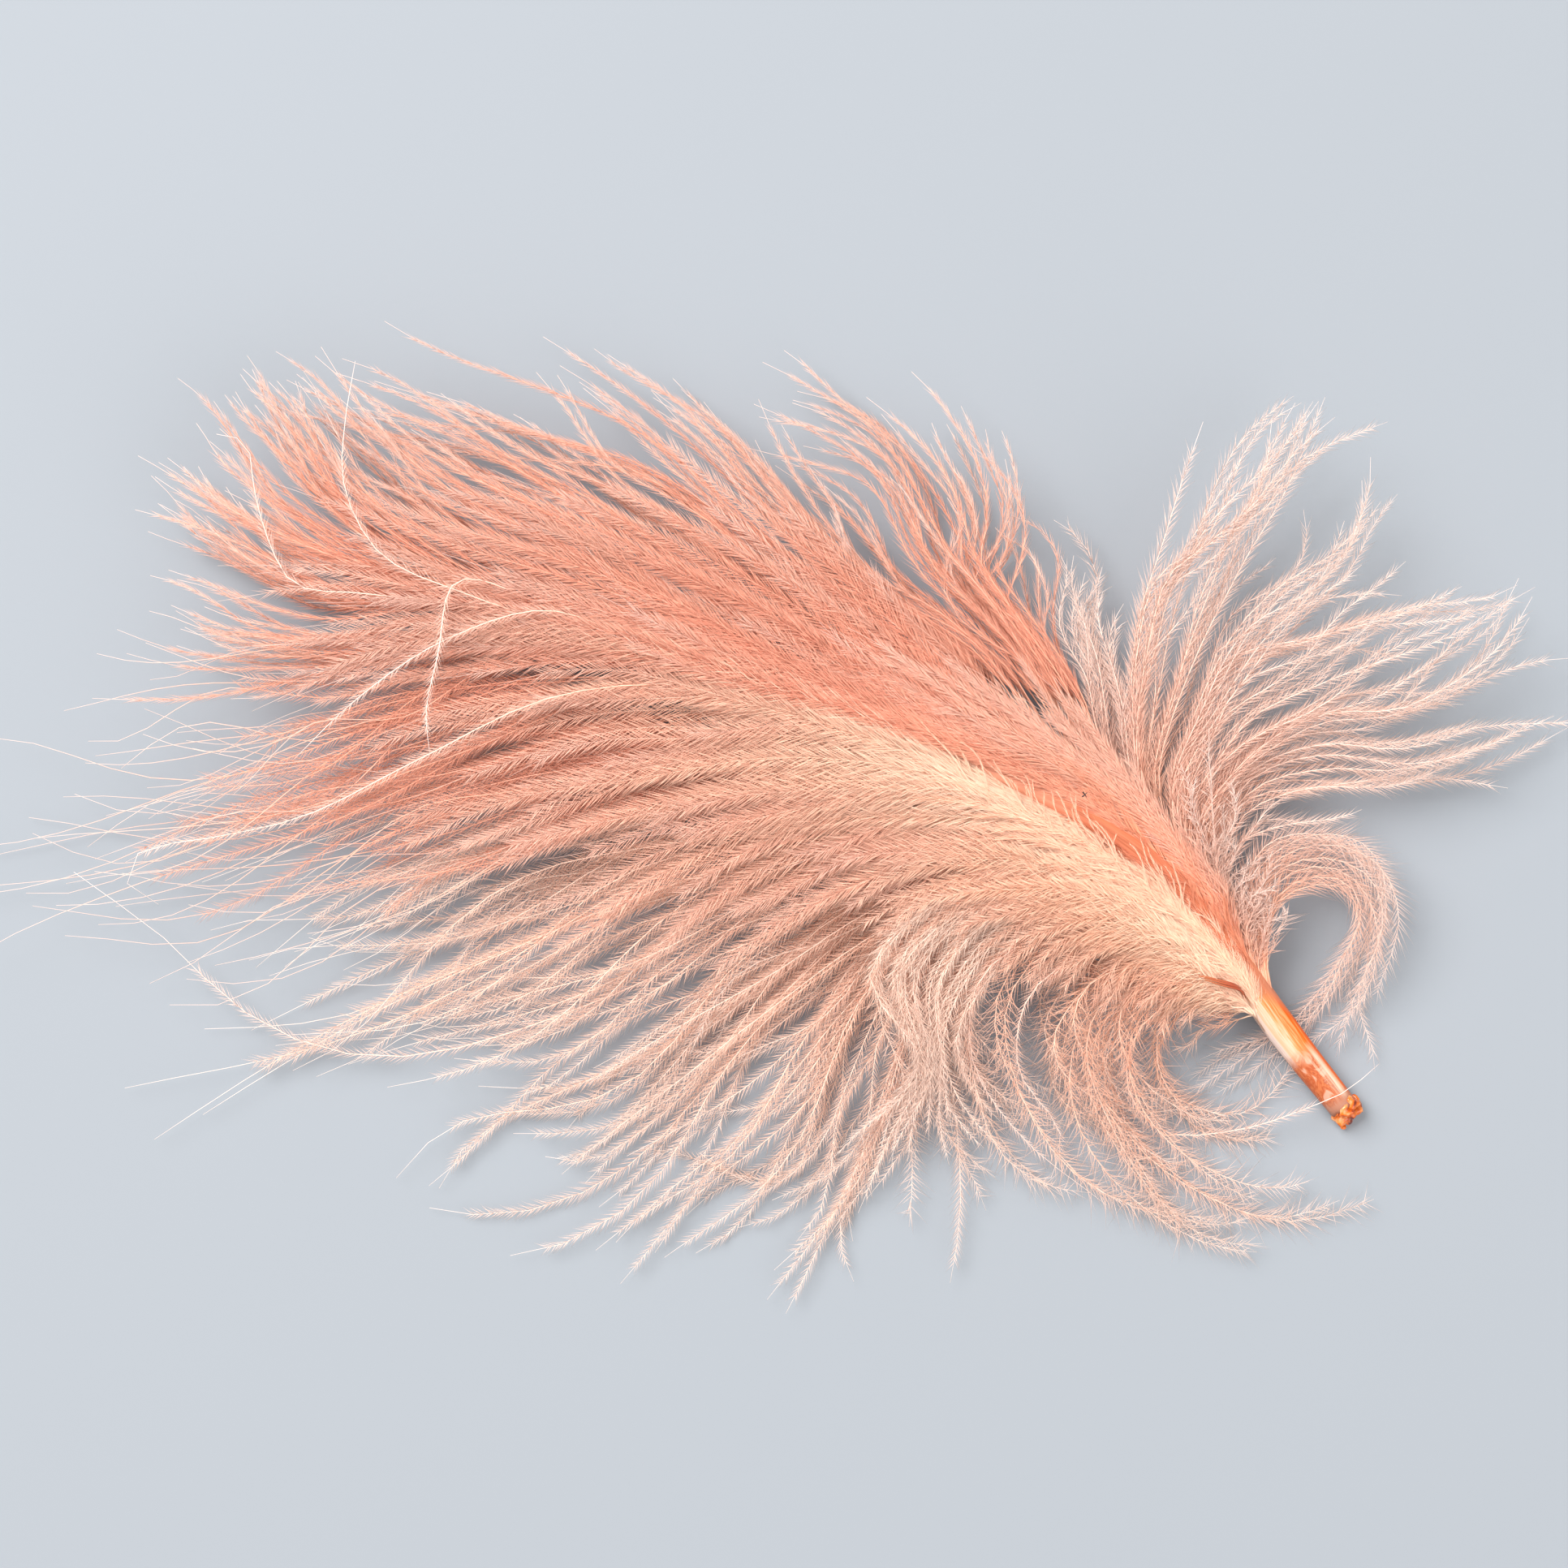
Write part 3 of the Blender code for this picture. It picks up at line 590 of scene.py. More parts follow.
def barbule_piece(name, lines, tones, material, spacing, bare_tip, bare_root, fullness, openness, tangle,
                  hair, chance):
    """Hairs on both sides of every barb, a spacing apart in millimetres along each side and hair
    times the usual thickness. They lie in a neat fishbone, or at all angles where tangle is high."""
    forward, left, over = frames_along(lines)
    hairs = []
    for number, line in enumerate(lines):
        run = run_along(line)
        last = run[-1] * (1.0 - bare_tip * chance.uniform(*BARE_TIP_RANGE))
        at = np.arange(bare_root, last, spacing / 2)
        at = at + chance.uniform(-BARBULE_SHIFT, BARBULE_SHIFT, len(at)) * spacing
        share = at / run[-1]
        foot, ahead, aside, above = [values_at(at, run, field[number])
                                     for field in (lines, forward, left, over)]
        side = np.where(np.arange(len(at)) % 2 == 0, 1.0, -1.0)
        uneven = chance.normal(0.0, 1.0, len(at)) * (tangle * np.interp(share, *BARBULE_UNEVEN))
        angle = np.radians(openness * (np.interp(share, *BARBULE_ANGLE) + uneven))
        roll = chance.normal(0.0, BARBULE_ROLL + BARBULE_ROLL * tangle, len(at))
        aim = np.cos(angle)[:, None] * ahead
        aim += (np.sin(angle) * np.cos(roll) * side)[:, None] * aside
        aim += (np.sin(angle) * np.sin(roll))[:, None] * above
        shorter, longer = 1.0 - BARBULE_SHORTER * tangle, 1.0 + BARBULE_LONGER * tangle
        long = fullness * np.interp(share, *BARBULE_LENGTH) * chance.uniform(shorter, longer, len(at))
        # No hair goes into the paper: one that would lies along it instead.
        level = np.maximum(aim[:, 2], np.minimum((HAIR_LOWEST - foot[:, 2]) / long, 0.0))
        flat = np.sqrt(1.0 - level ** 2) / np.linalg.norm(aim[:, :2], axis=1)
        aim = np.stack([aim[:, 0] * flat, aim[:, 1] * flat, level], axis=1)
        hairs.append((foot, aim, long, share, np.full(len(at), tones[number])))
    feet, aims, sizes, shares, strips = [np.concatenate(field) for field in zip(*hairs)]
    aside = np.cross(aims, UP)
    aside /= np.maximum(np.linalg.norm(aside, axis=1, keepdims=True), TINY)
    above = np.cross(aims, aside)
    corners, triangles = NEEDLE
    points = feet[:, None] + aims[:, None] * (sizes[:, None] * corners[None, :, 2])[..., None]
    points += hair * BARBULE_RADIUS * (aside[:, None] * corners[None, :, 0, None]
                                       + above[:, None] * corners[None, :, 1, None])
    along = np.clip(shares[:, None] + BARBULE_MAP_LENGTH * corners[None, :, 2], *BARBULE_MAP_ENDS)
    across = (strips[:, None] + 0.5 + BARBULE_STRIP * corners[None, :, 0]) / TONES
    joined_piece(name, points, triangles, np.stack([along, across], axis=-1), material)


def dyed_down(name, stops, darkest):
    """Dyed keratin hairs: matt and soft, the dye running from root to tip, with each barb a little
    darker or lighter than its neighbours."""
    material, surface = new_material(name, roughness=0.6)
    surface.inputs["Sheen Weight"].default_value = 0.12
    surface.inputs["Sheen Tint"].default_value = linear("#FFD9C4")
    place = add_node(material, "ShaderNodeUVMap", {"uv_map": "OFBake"})
    parts = add_node(material, "ShaderNodeSeparateXYZ", links={"Vector": place.outputs["UV"]})
    dye = add_node(material, "ShaderNodeValToRGB", links={"Fac": parts.outputs["X"]})
    set_stops(dye, stops)
    depth = add_node(material, "ShaderNodeMapRange", {"To Min": darkest}, {"Value": parts.outputs["Y"]})
    tone = add_node(material, "ShaderNodeHueSaturation",
                    links={"Color": dye.outputs["Color"], "Value": depth.outputs["Result"]})
    material.node_tree.links.new(tone.outputs["Color"], surface.inputs["Base Color"])
    return material


def dye_pair(naming, barb_stops, barbule_stops, darkest=(0.9, 0.88)):
    """The dyes of a group's barbs and of its barbules, as two materials."""
    return (dyed_down(naming.format("barbs"), barb_stops, darkest[0]),
            dyed_down(naming.format("barbules"), barbule_stops, darkest[1]))


def grow(name, rows, flank, dyes, per_gap, locks_a_gap=3, clump=(0.3, 0.8), shortest=0.75, spread=0.6,
         on_top=0.6, spacing=0.194, bare_tip=0.10, bare_root=1.2, fullness=1.0, openness=1.0, broad=1.0,
         tangle=1.0, hair=1.0):
    """A group of barbs with their barbules, between the guides of one part of the plume.

    Barbs: per_gap of them grow between two guides and are drawn into locks_a_gap locks, clump of
    the way. The shortest reach that share of the guides' length, spread is how far they stray to
    the side, on_top is the share of them that don't sink, and broad widens them.
    Barbules: spacing apart, from bare_root millimetres after the root to about the share bare_tip
    before the tip. Fullness lengthens them, openness opens their angle and hair thickens them."""
    chance = np.random.default_rng([SEED, len(rows), per_gap, int(rows[0][0] * 10)])
    guides = np.array([grown_from(row, flank) for row in rows])
    lines = barbs_between(guides, per_gap, locks_a_gap, clump, shortest, spread, on_top, chance)
    tones = chance.integers(0, TONES, len(lines))
    barb_piece(name + "_barbs", lines, tones, dyes[0], broad)
    barbule_piece(name + "_down", lines, tones, dyes[1], spacing, bare_tip, bare_root, fullness, openness,
                  tangle, hair, chance)


# The swirls: the lowest barbs on the quill's left, which curl down and back under the quill. They
# are loose and pale, with barbules up to their tips. The very lowest of them are short.
LOWEST_BARBS = [
    (8.4, [(27.8, -12.7, 2.6), (26, -13, 2.3), (23.8, -14.2, 1.8)]),
    (8.8, [(27.4, -12.3, 2.9), (25.2, -12.2, 3.2), (23, -13.4, 2.8)]),
]
SWIRLS = [
    (9, [(27, -11, 3.8), (24.4, -11.7, 4.6), (22.9, -14, 4.2), (22.8, -17.4, 2.6), (25, -19.9, 1.2),
        (29.8, -19.6, 0.9), (34.2, -18.3, 0.8)]),
    (9.8, [(25.5, -10, 5), (22.4, -10.6, 5.8), (20.4, -12.8, 5.4), (20.3, -16.2, 3.6), (22.4, -20.2, 1.6),
        (26, -23.2, 0.9), (30.4, -25.1, 0.9), (37, -22.4, 1.6)]),
    (10.6, [(23.5, -8.8, 6), (19.2, -9.6, 6.8), (17.2, -12.4, 6), (17.1, -16.2, 3.8), (19.6, -20.6, 1.6),
        (26.4, -26.3, 0.9)]),
    (11.6, [(20.5, -7.2, 7), (15.6, -8.2, 7.6), (13.2, -11.4, 6.4), (13.6, -15.8, 3.8), (17.2, -20.8, 1.6),
        (28.3, -25.7, 0.9)]),
    (12.8, [(18, -5.6, 7.8), (12, -6.8, 8), (9.4, -10.2, 6.6), (10.2, -15, 3.8), (12.9, -19.2, 1.6),
        (19.6, -24.4, 0.8)]),
    (14, [(15, -4.4, 8.2), (9, -6, 8.2), (7.1, -10, 6.4), (8.9, -15, 3.8), (9.2, -20, 1.6),
        (9.5, -25.2, 0.7)]),
]
CREAM_BARBS = [(0, "#F4AE8A"), (0.04, "#FFDCBE"), (0.14, "#FFD2B2"), (0.26, "#FFC8A8"), (0.45, "#FFD6BE"),
               (0.75, "#FFE4D2"), (1, "#FFEDE2")]
CREAM_HAIRS = [(0, "#F2A682"), (0.04, "#FFD2B0"), (0.14, "#FFC6A4"), (0.26, "#FFBA99"), (0.5, "#FFC4A8"),
               (0.8, "#FBCFBA"), (1, "#F8D8C8")]
cream_dyes = dye_pair("dyed {} with cream roots", CREAM_BARBS, CREAM_HAIRS, darkest=(0.9, 0.86))
grow("lowest", LOWEST_BARBS, LEFT, cream_dyes, per_gap=5, clump=(0.0, 0.4), spread=0.5, bare_tip=0.02,
     broad=0.8, fullness=1.2)
grow("swirl", SWIRLS, LEFT, cream_dyes, per_gap=7, clump=(0.2, 1.0), shortest=0.7, spread=1.5,
     spacing=0.21, bare_tip=0.03, bare_root=4.0, fullness=1.8, openness=1.5, broad=0.9, tangle=1.2,
     hair=0.75)

# The fur over the swirls: their neighbours, which end sooner and hide their roots under a smooth
# cover of pale peach, as close as the hairs of a brush.
SWIRL_FUR = [
    (9, [(27.3, -11.5, 4), (25.2, -11.3, 4.8), (22.8, -13.6, 4.4)]),
    (9.8, [(26.4, -10.6, 4.9), (23.6, -10.1, 5.8), (20.8, -12.2, 5.4)]),
    (10.6, [(25, -9.3, 5.8), (21.8, -9.1, 6.6), (18.4, -12.4, 5.8)]),
    (11.6, [(22.8, -7.8, 6.8), (18.8, -7.9, 7.6), (15.2, -12, 6.2)]),
    (13, [(20.4, -6.4, 7.6), (15.6, -6.6, 8.2), (11.8, -10.8, 6.7)]),
    (14.8, [(17.6, -5, 8.3), (12, -5.4, 8.6), (8, -9.6, 6.8)]),
    (17, [(14.4, -3.8, 8.7), (8, -4.6, 8.6), (3.6, -7.8, 6.8)]),
    (18.5, [(13.4, -2.8, 8.6), (7, -3.6, 8.5), (2, -6.4, 6.8)]),
]
FUR_BARBS = [(0, "#F6B48E"), (0.08, "#FFDABE"), (0.35, "#FFD6BA"), (0.6, "#FFC8A8"), (1, "#FFD0B8")]
FUR_HAIRS = [(0, "#F6B48E"), (0.08, "#FFD8BA"), (0.35, "#FFD4B6"), (0.6, "#FFC6A6"), (1, "#FCC6AE")]
fur_dyes = dye_pair("dyed {} of the fur", FUR_BARBS, FUR_HAIRS)
grow("swirl_fur", SWIRL_FUR, LEFT, fur_dyes, per_gap=12, locks_a_gap=6, clump=(0.0, 0.3), shortest=0.6,
     spread=0.7, on_top=0.95, spacing=0.16, bare_tip=0.05, fullness=1.3, broad=0.6, tangle=0.6, hair=1.15)

# The gathered barbs: a bunch of them sticks together at one point on the lower side and fans out
# again below it. They are the brightest barbs, pale cream past that point.
GATHERED = [
    (13, [(15.4, -6.6, 7.6), (11.9, -10.2, 6.6), (9.9, -14.4, 4.6), (12.4, -17.8, 2.6),
        (17.8, -20.6, 1.4)]),
    (13.6, [(13.8, -6.4, 8), (10.6, -10.4, 6.6), (9.5, -14.7, 4.6), (10.8, -18.4, 2.4),
        (13.8, -21.8, 1.2)]),
    (14.4, [(12, -6.2, 8.2), (8.8, -10.2, 6.6), (9.3, -14.9, 4.6), (8.9, -19.4, 2.2), (9.4, -24.6, 0.9)]),
    (15.2, [(10.2, -6, 8.2), (6.6, -9.8, 6.6), (9, -15.1, 4.5), (6.6, -19.6, 2.2), (4.8, -25.2, 0.9)]),
    (16.2, [(8.6, -5.6, 8.2), (5.2, -9.4, 6.5), (8.6, -15.4, 4.4), (4.2, -19.4, 2.1), (-0.2, -22.8, 0.9)]),
]
BRIGHT_BARBS = [(0, "#F4AE8A"), (0.3, "#FFCAAA"), (0.5, "#FFE4D2"), (0.7, "#FFE4D2"), (1, "#FFEDE2")]
BRIGHT_HAIRS = [(0, "#F2A682"), (0.3, "#FFBE9C"), (0.5, "#FFDCC8"), (0.7, "#FFD6C0"), (1, "#F8D8C8")]
bright_dyes = dye_pair("dyed {} of the bunch", BRIGHT_BARBS, BRIGHT_HAIRS, darkest=(0.95, 0.92))
grow("gathered", GATHERED, LEFT, bright_dyes, per_gap=7, locks_a_gap=2, clump=(0.0, 0.8), shortest=0.8,
     spread=0.25, on_top=1.0, bare_tip=0.03, bare_root=6.0, fullness=1.1, tangle=0.9, hair=0.85)

# The lower fringe: barbs that run out beneath the others, straight down and to the left, and part
# into single plumes along the lower edge. Some curl up again at their ends.
FRINGE = [
    (12.9, [(19, -7.2, 5.6), (12, -9.3, 4.6), (8.9, -14.8, 2.8), (7.4, -20.2, 1.4), (5.2, -26.2, 0.9),
        (5.8, -31, 0.8)]),
    (13.4, [(18.4, -6.6, 5.6), (11, -8.2, 4.8), (8.6, -13.4, 3), (6.6, -19.6, 1.4), (3.6, -26.2, 0.9),
        (-3, -30.7, 0.8)]),
    (13.9, [(17.8, -6.2, 5.6), (9.8, -7.2, 4.8), (5.6, -11.8, 3), (3.4, -17.6, 1.5), (0.6, -22.6, 0.9),
        (-3, -26.8, 0.8)]),
    (14.4, [(17.2, -5.8, 5.6), (9.2, -6.6, 4.8), (4.6, -11.2, 3), (3.2, -17.4, 1.5), (0.6, -23.6, 0.9),
        (-3.8, -24.9, 0.8), (-10.8, -22, 0.8)]),
    (15, [(16.6, -5.4, 5.6), (8.6, -6.2, 4.8), (3.6, -11, 3), (-1, -17.2, 1.4), (-6.4, -22.4, 0.9),
        (-13.2, -29.4, 0.8)]),
    (15.6, [(16, -5, 5.6), (8, -5.8, 4.8), (2.8, -10.6, 3), (-3.2, -16.8, 1.4), (-12.4, -24.9, 0.8)]),
    (16.2, [(15.4, -4.6, 5.6), (7.4, -5.4, 4.8), (1.8, -10.2, 3), (-4.4, -15.8, 1.5), (-9.6, -21.6, 0.9),
        (-13.6, -24.5, 0.8), (-17, -24.2, 0.8), (-20, -22.1, 0.8)]),
    (16.9, [(14.8, -4.2, 5.6), (6.6, -5, 4.8), (0, -9.4, 3.1), (-7.2, -13.8, 1.6), (-14, -18.6, 1),
        (-19, -22.9, 0.8), (-21.1, -27, 0.8)]),
    (17.7, [(14.2, -3.8, 5.6), (5.8, -4.6, 4.8), (-1.4, -9, 3.1), (-7.6, -14.2, 1.6), (-13, -18.4, 1),
        (-18, -19.4, 0.8), (-22.4, -17.6, 0.8), (-25.2, -14.9, 0.8)]),
    (18.7, [(13.4, -3.4, 5.6), (4.8, -4.2, 4.8), (-3, -8.6, 3.1), (-9.6, -13.2, 1.7), (-15.2, -15.8, 1.1),
        (-20.8, -16.5, 0.8)]),
    (20, [(12, -2.8, 5.8), (3, -3.6, 5), (-5.4, -7.6, 3.3), (-13.4, -12, 1.9), (-22.4, -14.6, 1.1),
        (-31.1, -17.3, 0.8)]),
]
grow("fringe", FRINGE, LEFT, cream_dyes, per_gap=7, locks_a_gap=4, clump=(0.2, 1.0), shortest=0.7,
     spread=2.4, bare_tip=0.04, bare_root=12.0, fullness=0.96, openness=1.15, tangle=0.4, hair=0.85)

# The lower vane: long barbs that sweep down to the left in shallow curves, thinly spread, with the
# ground showing between them.
LOWER_VANE = FRINGE[-1:] + [
    (21.5, [(10.8, -1.8, 6), (1.8, -2.2, 5.4), (-7.4, -5.4, 3.8), (-16.4, -9.6, 2.2), (-25.6, -12.6, 1.2),
        (-34, -14.6, 0.9)]),
    (23.5, [(9.4, -0.8, 6.2), (0.4, -0.8, 5.8), (-9.4, -3.4, 4.2), (-19.4, -7.6, 2.6), (-29.4, -11.4, 1.3),
        (-42.5, -16.2, 0.9)]),
    (26, [(7.6, 0.4, 6.4), (-1.4, 0.6, 6.2), (-11.8, -1.6, 4.8), (-22.4, -6, 3), (-32, -10.2, 1.6),
        (-41.5, -12.6, 1)]),
    (29, [(5, 1.6, 6.6), (-4, 2, 6.4), (-14.4, 0.2, 5.2), (-25, -4, 3.4), (-33.6, -8, 1.9),
        (-40, -8, 1.2)]),
]
grow("lower_vane", LOWER_VANE, LEFT, cream_dyes, per_gap=12, locks_a_gap=5, clump=(0.2, 1.0),
     shortest=0.78, spread=3.2, bare_tip=0.13, bare_root=14.0, fullness=0.9, openness=1.15, tangle=0.4,
     hair=0.85)

# The far vane: straighter barbs of a deeper peach, which cross each other and run out to the left
# as long bare threads.
FAR_VANE = LOWER_VANE[-1:] + [
    (32, [(2, 2.6, 6.8), (-7, 3, 6.4), (-18, 0.6, 5.2), (-29, -3.4, 3.4), (-37.6, -5.4, 2.4),
        (-46.4, -5.7, 1.5)]),
    (36, [(-3, 4, 7), (-12, 3.6, 6.4), (-23, 0.6, 5), (-33, -1.4, 3.6), (-41, -1.6, 2.7),
        (-50.5, -2, 1.8)]),
    (41, [(-8, 6, 7), (-17, 4.8, 6.2), (-28, 2, 4.8), (-41, 0, 3), (-50.5, 0.3, 2.2)]),
    (45.5, [(-12, 7.6, 6.9), (-21, 6, 6), (-32, 3.6, 4.8), (-42.6, 1.9, 3.2), (-50.3, 2.3, 2.6)]),
    (50, [(-16.4, 8.8, 6.6), (-25, 7, 5.6), (-34.6, 5, 4.5), (-42.8, 4.4, 3.6), (-50.4, 4.8, 3.2)]),
    (54.5, [(-20, 10.2, 6.2), (-27.4, 8.4, 5.4), (-35.2, 6.8, 4.6), (-45, 6.5, 3.5)]),
]
PEACH_BARBS = [(0, "#F0A280"), (0.12, "#FAB696"), (0.35, "#F6AC8E"), (0.6, "#F8B69A"), (0.8, "#FACAB6"),
               (1, "#FCE2D6")]
PEACH_HAIRS = [(0, "#EC9676"), (0.12, "#F6AA8A"), (0.35, "#F09E82"), (0.6, "#F1A286"), (0.8, "#F3B49C"),
               (1, "#F4CABA")]
peach_dyes = dye_pair("dyed {}, deep peach", PEACH_BARBS, PEACH_HAIRS, darkest=(0.88, 0.84))
grow("far_vane", FAR_VANE, LEFT, peach_dyes, per_gap=12, locks_a_gap=4, clump=(0.0, 1.0), shortest=0.72,
     spread=3.0, bare_tip=0.32, bare_root=11.0, fullness=0.85, openness=1.1, tangle=0.4, hair=0.85)

# The tip: the last barbs of the left flank, of the same deep peach. They hold together in narrow
# points that spread out past the end of the shaft.
TIP = FAR_VANE[-1:] + [
    (57, [(-22, 10.8, 6), (-27, 9.6, 5.6), (-32, 10.8, 5), (-36, 11.3, 4.6), (-40, 12.5, 4.2),
        (-43.6, 13.8, 4)]),
    (59, [(-23, 12, 6), (-27.5, 11, 5.6), (-32, 11.8, 5.1), (-34.4, 12.9, 4.8), (-39.2, 14.6, 4.4)]),
    (61, [(-24.4, 13.2, 5.9), (-28.4, 13.2, 5.6), (-31.6, 15, 5.4), (-35.2, 17.4, 5), (-40, 20.6, 4.6)]),
    (62.5, [(-25, 14.4, 5.9), (-28.6, 15.2, 5.8), (-32.4, 17, 5.5), (-36.2, 18.8, 5.1), (-41, 21.2, 4.7)]),
    (64, [(-26, 15.2, 5.9), (-29.6, 16.2, 5.9), (-33.4, 18.6, 5.6), (-36.8, 21.8, 5.2)]),
    (65.5, [(-26.2, 16.6, 6), (-29.4, 18.8, 6.2), (-32.8, 22.6, 6), (-35.2, 25.4, 5.6),
        (-37.4, 27.2, 5.2)]),
    (66.5, [(-25.6, 17.4, 6.1), (-28.6, 20.4, 6.4), (-31.6, 24.2, 6.2), (-34.6, 28.6, 5.6)]),
]
grow("tip", TIP, LEFT, peach_dyes, per_gap=8, locks_a_gap=2, clump=(0.6, 1.0), shortest=0.7, spread=0.8,
     spacing=0.25, bare_root=4.0, openness=0.45, tangle=0.6)

# The crown's tip: the uppermost barbs of the shaft's far half, deep peach all the way. They lie along
# the shaft at first, then fan out over the far vane.
CROWN_TIP = [
    (36, [(1, 8.6, 8.4), (-6, 12.2, 8.4), (-14, 15.6, 7.8), (-22, 18.6, 7), (-30, 21.5, 6)]),
    (37.5, [(-0.4, 8.6, 8.4), (-8, 11.8, 8.3), (-16, 14.4, 7.6), (-24.4, 16.6, 6.8), (-33.6, 18, 5.8)]),
    (39, [(-2, 8.8, 8.3), (-9.9, 11.4, 8.2), (-18, 13.2, 7.4), (-26.6, 14.4, 6.6), (-36, 14, 5.4)]),
    (40.5, [(-3.4, 9, 8.2), (-11, 10.8, 8), (-19.6, 11.6, 7.2), (-28.4, 11.4, 6.2), (-38, 9.8, 4.8)]),
    (42, [(-4.9, 9.2, 8.1), (-12.4, 10.2, 7.8), (-21, 9.6, 6.8), (-29.6, 7.6, 5.6), (-39, 5.6, 4.2)]),
]
grow("crown_tip", CROWN_TIP, RIGHT, peach_dyes, per_gap=11, locks_a_gap=5, clump=(0.0, 0.5), shortest=0.5,
     spread=1.2, on_top=0.95, fullness=1.2, openness=0.8, broad=0.7, tangle=0.5, hair=1.1)

# The crown's upper side: barbs that lie along the shaft and cover it past the groove, then fan out
# to the upper left, as close as fur and deep peach all the way.
CROWN_UPPER = [
    (20.5, [(14.6, 4.4, 7.6), (9.4, 9.4, 7.8), (4.4, 14, 7), (-2, 18.8, 5.8), (-7.6, 24.2, 4.6)]),
    (23, [(12.4, 4.8, 8), (6, 9.8, 8.3), (-1.2, 14.4, 7.6), (-9, 18.6, 6.4), (-16.6, 22.6, 5.2)]),
    (25, [(10.6, 5, 8.2), (3.6, 9.6, 8.6), (-4.6, 14, 8), (-13, 17.8, 7), (-24, 20.4, 5.8)]),
    (27, [(8.4, 5.2, 8.5), (0.6, 8.8, 8.8), (-8.4, 12.4, 8.2), (-17.4, 15.6, 7.2), (-28, 18.4, 5.8)]),
    (28.5, [(7.2, 5.4, 8.6), (-1.6, 8.2, 8.9), (-11, 11, 8.3), (-20, 12.8, 7.2), (-30, 14.4, 5.8)]),
    (30, [(6, 5.6, 8.7), (-3, 7.9, 8.9), (-12, 10.4, 8.3), (-21, 11.2, 7.2), (-31, 10, 5.6)]),
]
grow("crown_upper", CROWN_UPPER, RIGHT, peach_dyes, per_gap=10, locks_a_gap=10, clump=(0.0, 0.2),
     shortest=0.5, spread=0.8, on_top=0.97, spacing=0.17, fullness=1.4, openness=0.9, broad=0.6, tangle=0.5,
     hair=1.1)

# The crown's lower side: the same on the other flank of the shaft, fanning out to the lower left,
# with satin cream roots.
CROWN_LOWER = [
    (19.5, [(11.6, -2.4, 8.4), (5.2, -4, 8), (0.6, -7.2, 6.6), (-2.6, -11, 5)]),
    (21.5, [(10.2, -1.2, 8.6), (3, -2.6, 8.2), (-3, -5.4, 6.8), (-8.5, -9.4, 5.2), (-12.5, -12.6, 3.6)]),
    (24, [(9, 0.4, 8.7), (1.5, -0.2, 8.4), (-6, -2.6, 7), (-13, -6.2, 5.4), (-20, -9.6, 3.4)]),
    (26, [(8.5, 1.8, 8.8), (0.5, 1.8, 8.6), (-8, 0.2, 7.4), (-16, -2.6, 6), (-25, -6.6, 3.8)]),
    (28, [(7.5, 3.2, 8.8), (-1, 4, 8.8), (-10, 3.2, 7.6), (-19, 0.8, 6.2), (-29, -3.4, 4.2)]),
    (29, [(6.5, 4.4, 8.8), (-2, 6.2, 8.9), (-11, 7, 8), (-20, 5.4, 6.8), (-30, 1.6, 5)]),
    (30.5, [(5.6, 5.4, 8.7), (-3, 7.7, 8.9), (-12, 9.6, 8.2), (-21, 9.4, 7.2), (-32, 6, 5.2)]),
    (32, [(4.4, 6.2, 8.7), (-4.2, 8.6, 8.8), (-13.2, 11.2, 8.2), (-22, 11.6, 7.3), (-33, 9.2, 5.4)]),
]
CROWN_BARBS = [(0, "#F4AE8A"), (0.05, "#FFDCC0"), (0.2, "#FFDCC2"), (0.35, "#FFD2B6"), (0.55, "#FECAB0"),
               (1, "#FCD8C8")]
CROWN_HAIRS = [(0, "#F2A682"), (0.05, "#FFD6B8"), (0.2, "#FFD6BA"), (0.35, "#FFCDB0"), (0.55, "#FCC2A6"),
               (0.75, "#F6B69C"), (1, "#F6C4B0")]
crown_dyes = dye_pair("dyed {} of the crown", CROWN_BARBS, CROWN_HAIRS)
grow("crown_lower", CROWN_LOWER, LEFT, crown_dyes, per_gap=9, locks_a_gap=9, clump=(0.0, 0.1), shortest=0.5,
     spread=0.8, on_top=0.97, spacing=0.178, fullness=1.5, broad=0.6, tangle=0.4, hair=1.15)

# The band above the groove: smooth peach barbs that lie side by side along the shaft and hide the
# roots of the tuft, up to an edge that runs from the quill to the upper left.
UPPER_BAND = [
    (11.5, [(27.5, -6.2, 4.8), (25.2, -2.8, 6), (22.8, 0.4, 6.8)]),
    (13.5, [(26.2, -4.6, 5.3), (23.2, -0.8, 6.6), (19.6, 3.6, 7.5), (16, 8, 7.6)]),
    (16, [(24.6, -2.8, 5.8), (20.8, 1.2, 7.1), (16.2, 5.4, 8), (11, 10.4, 8)]),
    (18.5, [(22.8, -1, 6.3), (18.4, 2.6, 7.5), (12.6, 6.8, 8.3), (5.6, 11.8, 8.2)]),
    (21.5, [(20.4, 0.9, 6.9), (15.4, 3.9, 8), (8.8, 7.6, 8.6), (1, 12, 8.4)]),
    (25, [(17.6, 2.4, 7.3), (12, 4.9, 8.3), (5, 7.8, 8.8), (-3, 10.6, 8.6)]),
]
BAND_BARBS = [(0, "#EC9A74"), (0.15, "#F2A482"), (0.35, "#FABEA4"), (1, "#FBD0BC")]
BAND_HAIRS = [(0, "#E8926E"), (0.15, "#EE9C7A"), (0.35, "#F6B296"), (1, "#F4BCA6")]
band_dyes = dye_pair("dyed {} beside the groove", BAND_BARBS, BAND_HAIRS)
grow("upper_band", UPPER_BAND, RIGHT, band_dyes, per_gap=14, clump=(0.0, 0.5), shortest=0.5, on_top=0.95,
     spacing=0.18, bare_root=0.6, openness=0.65, broad=0.8, tangle=0.6, hair=1.2)
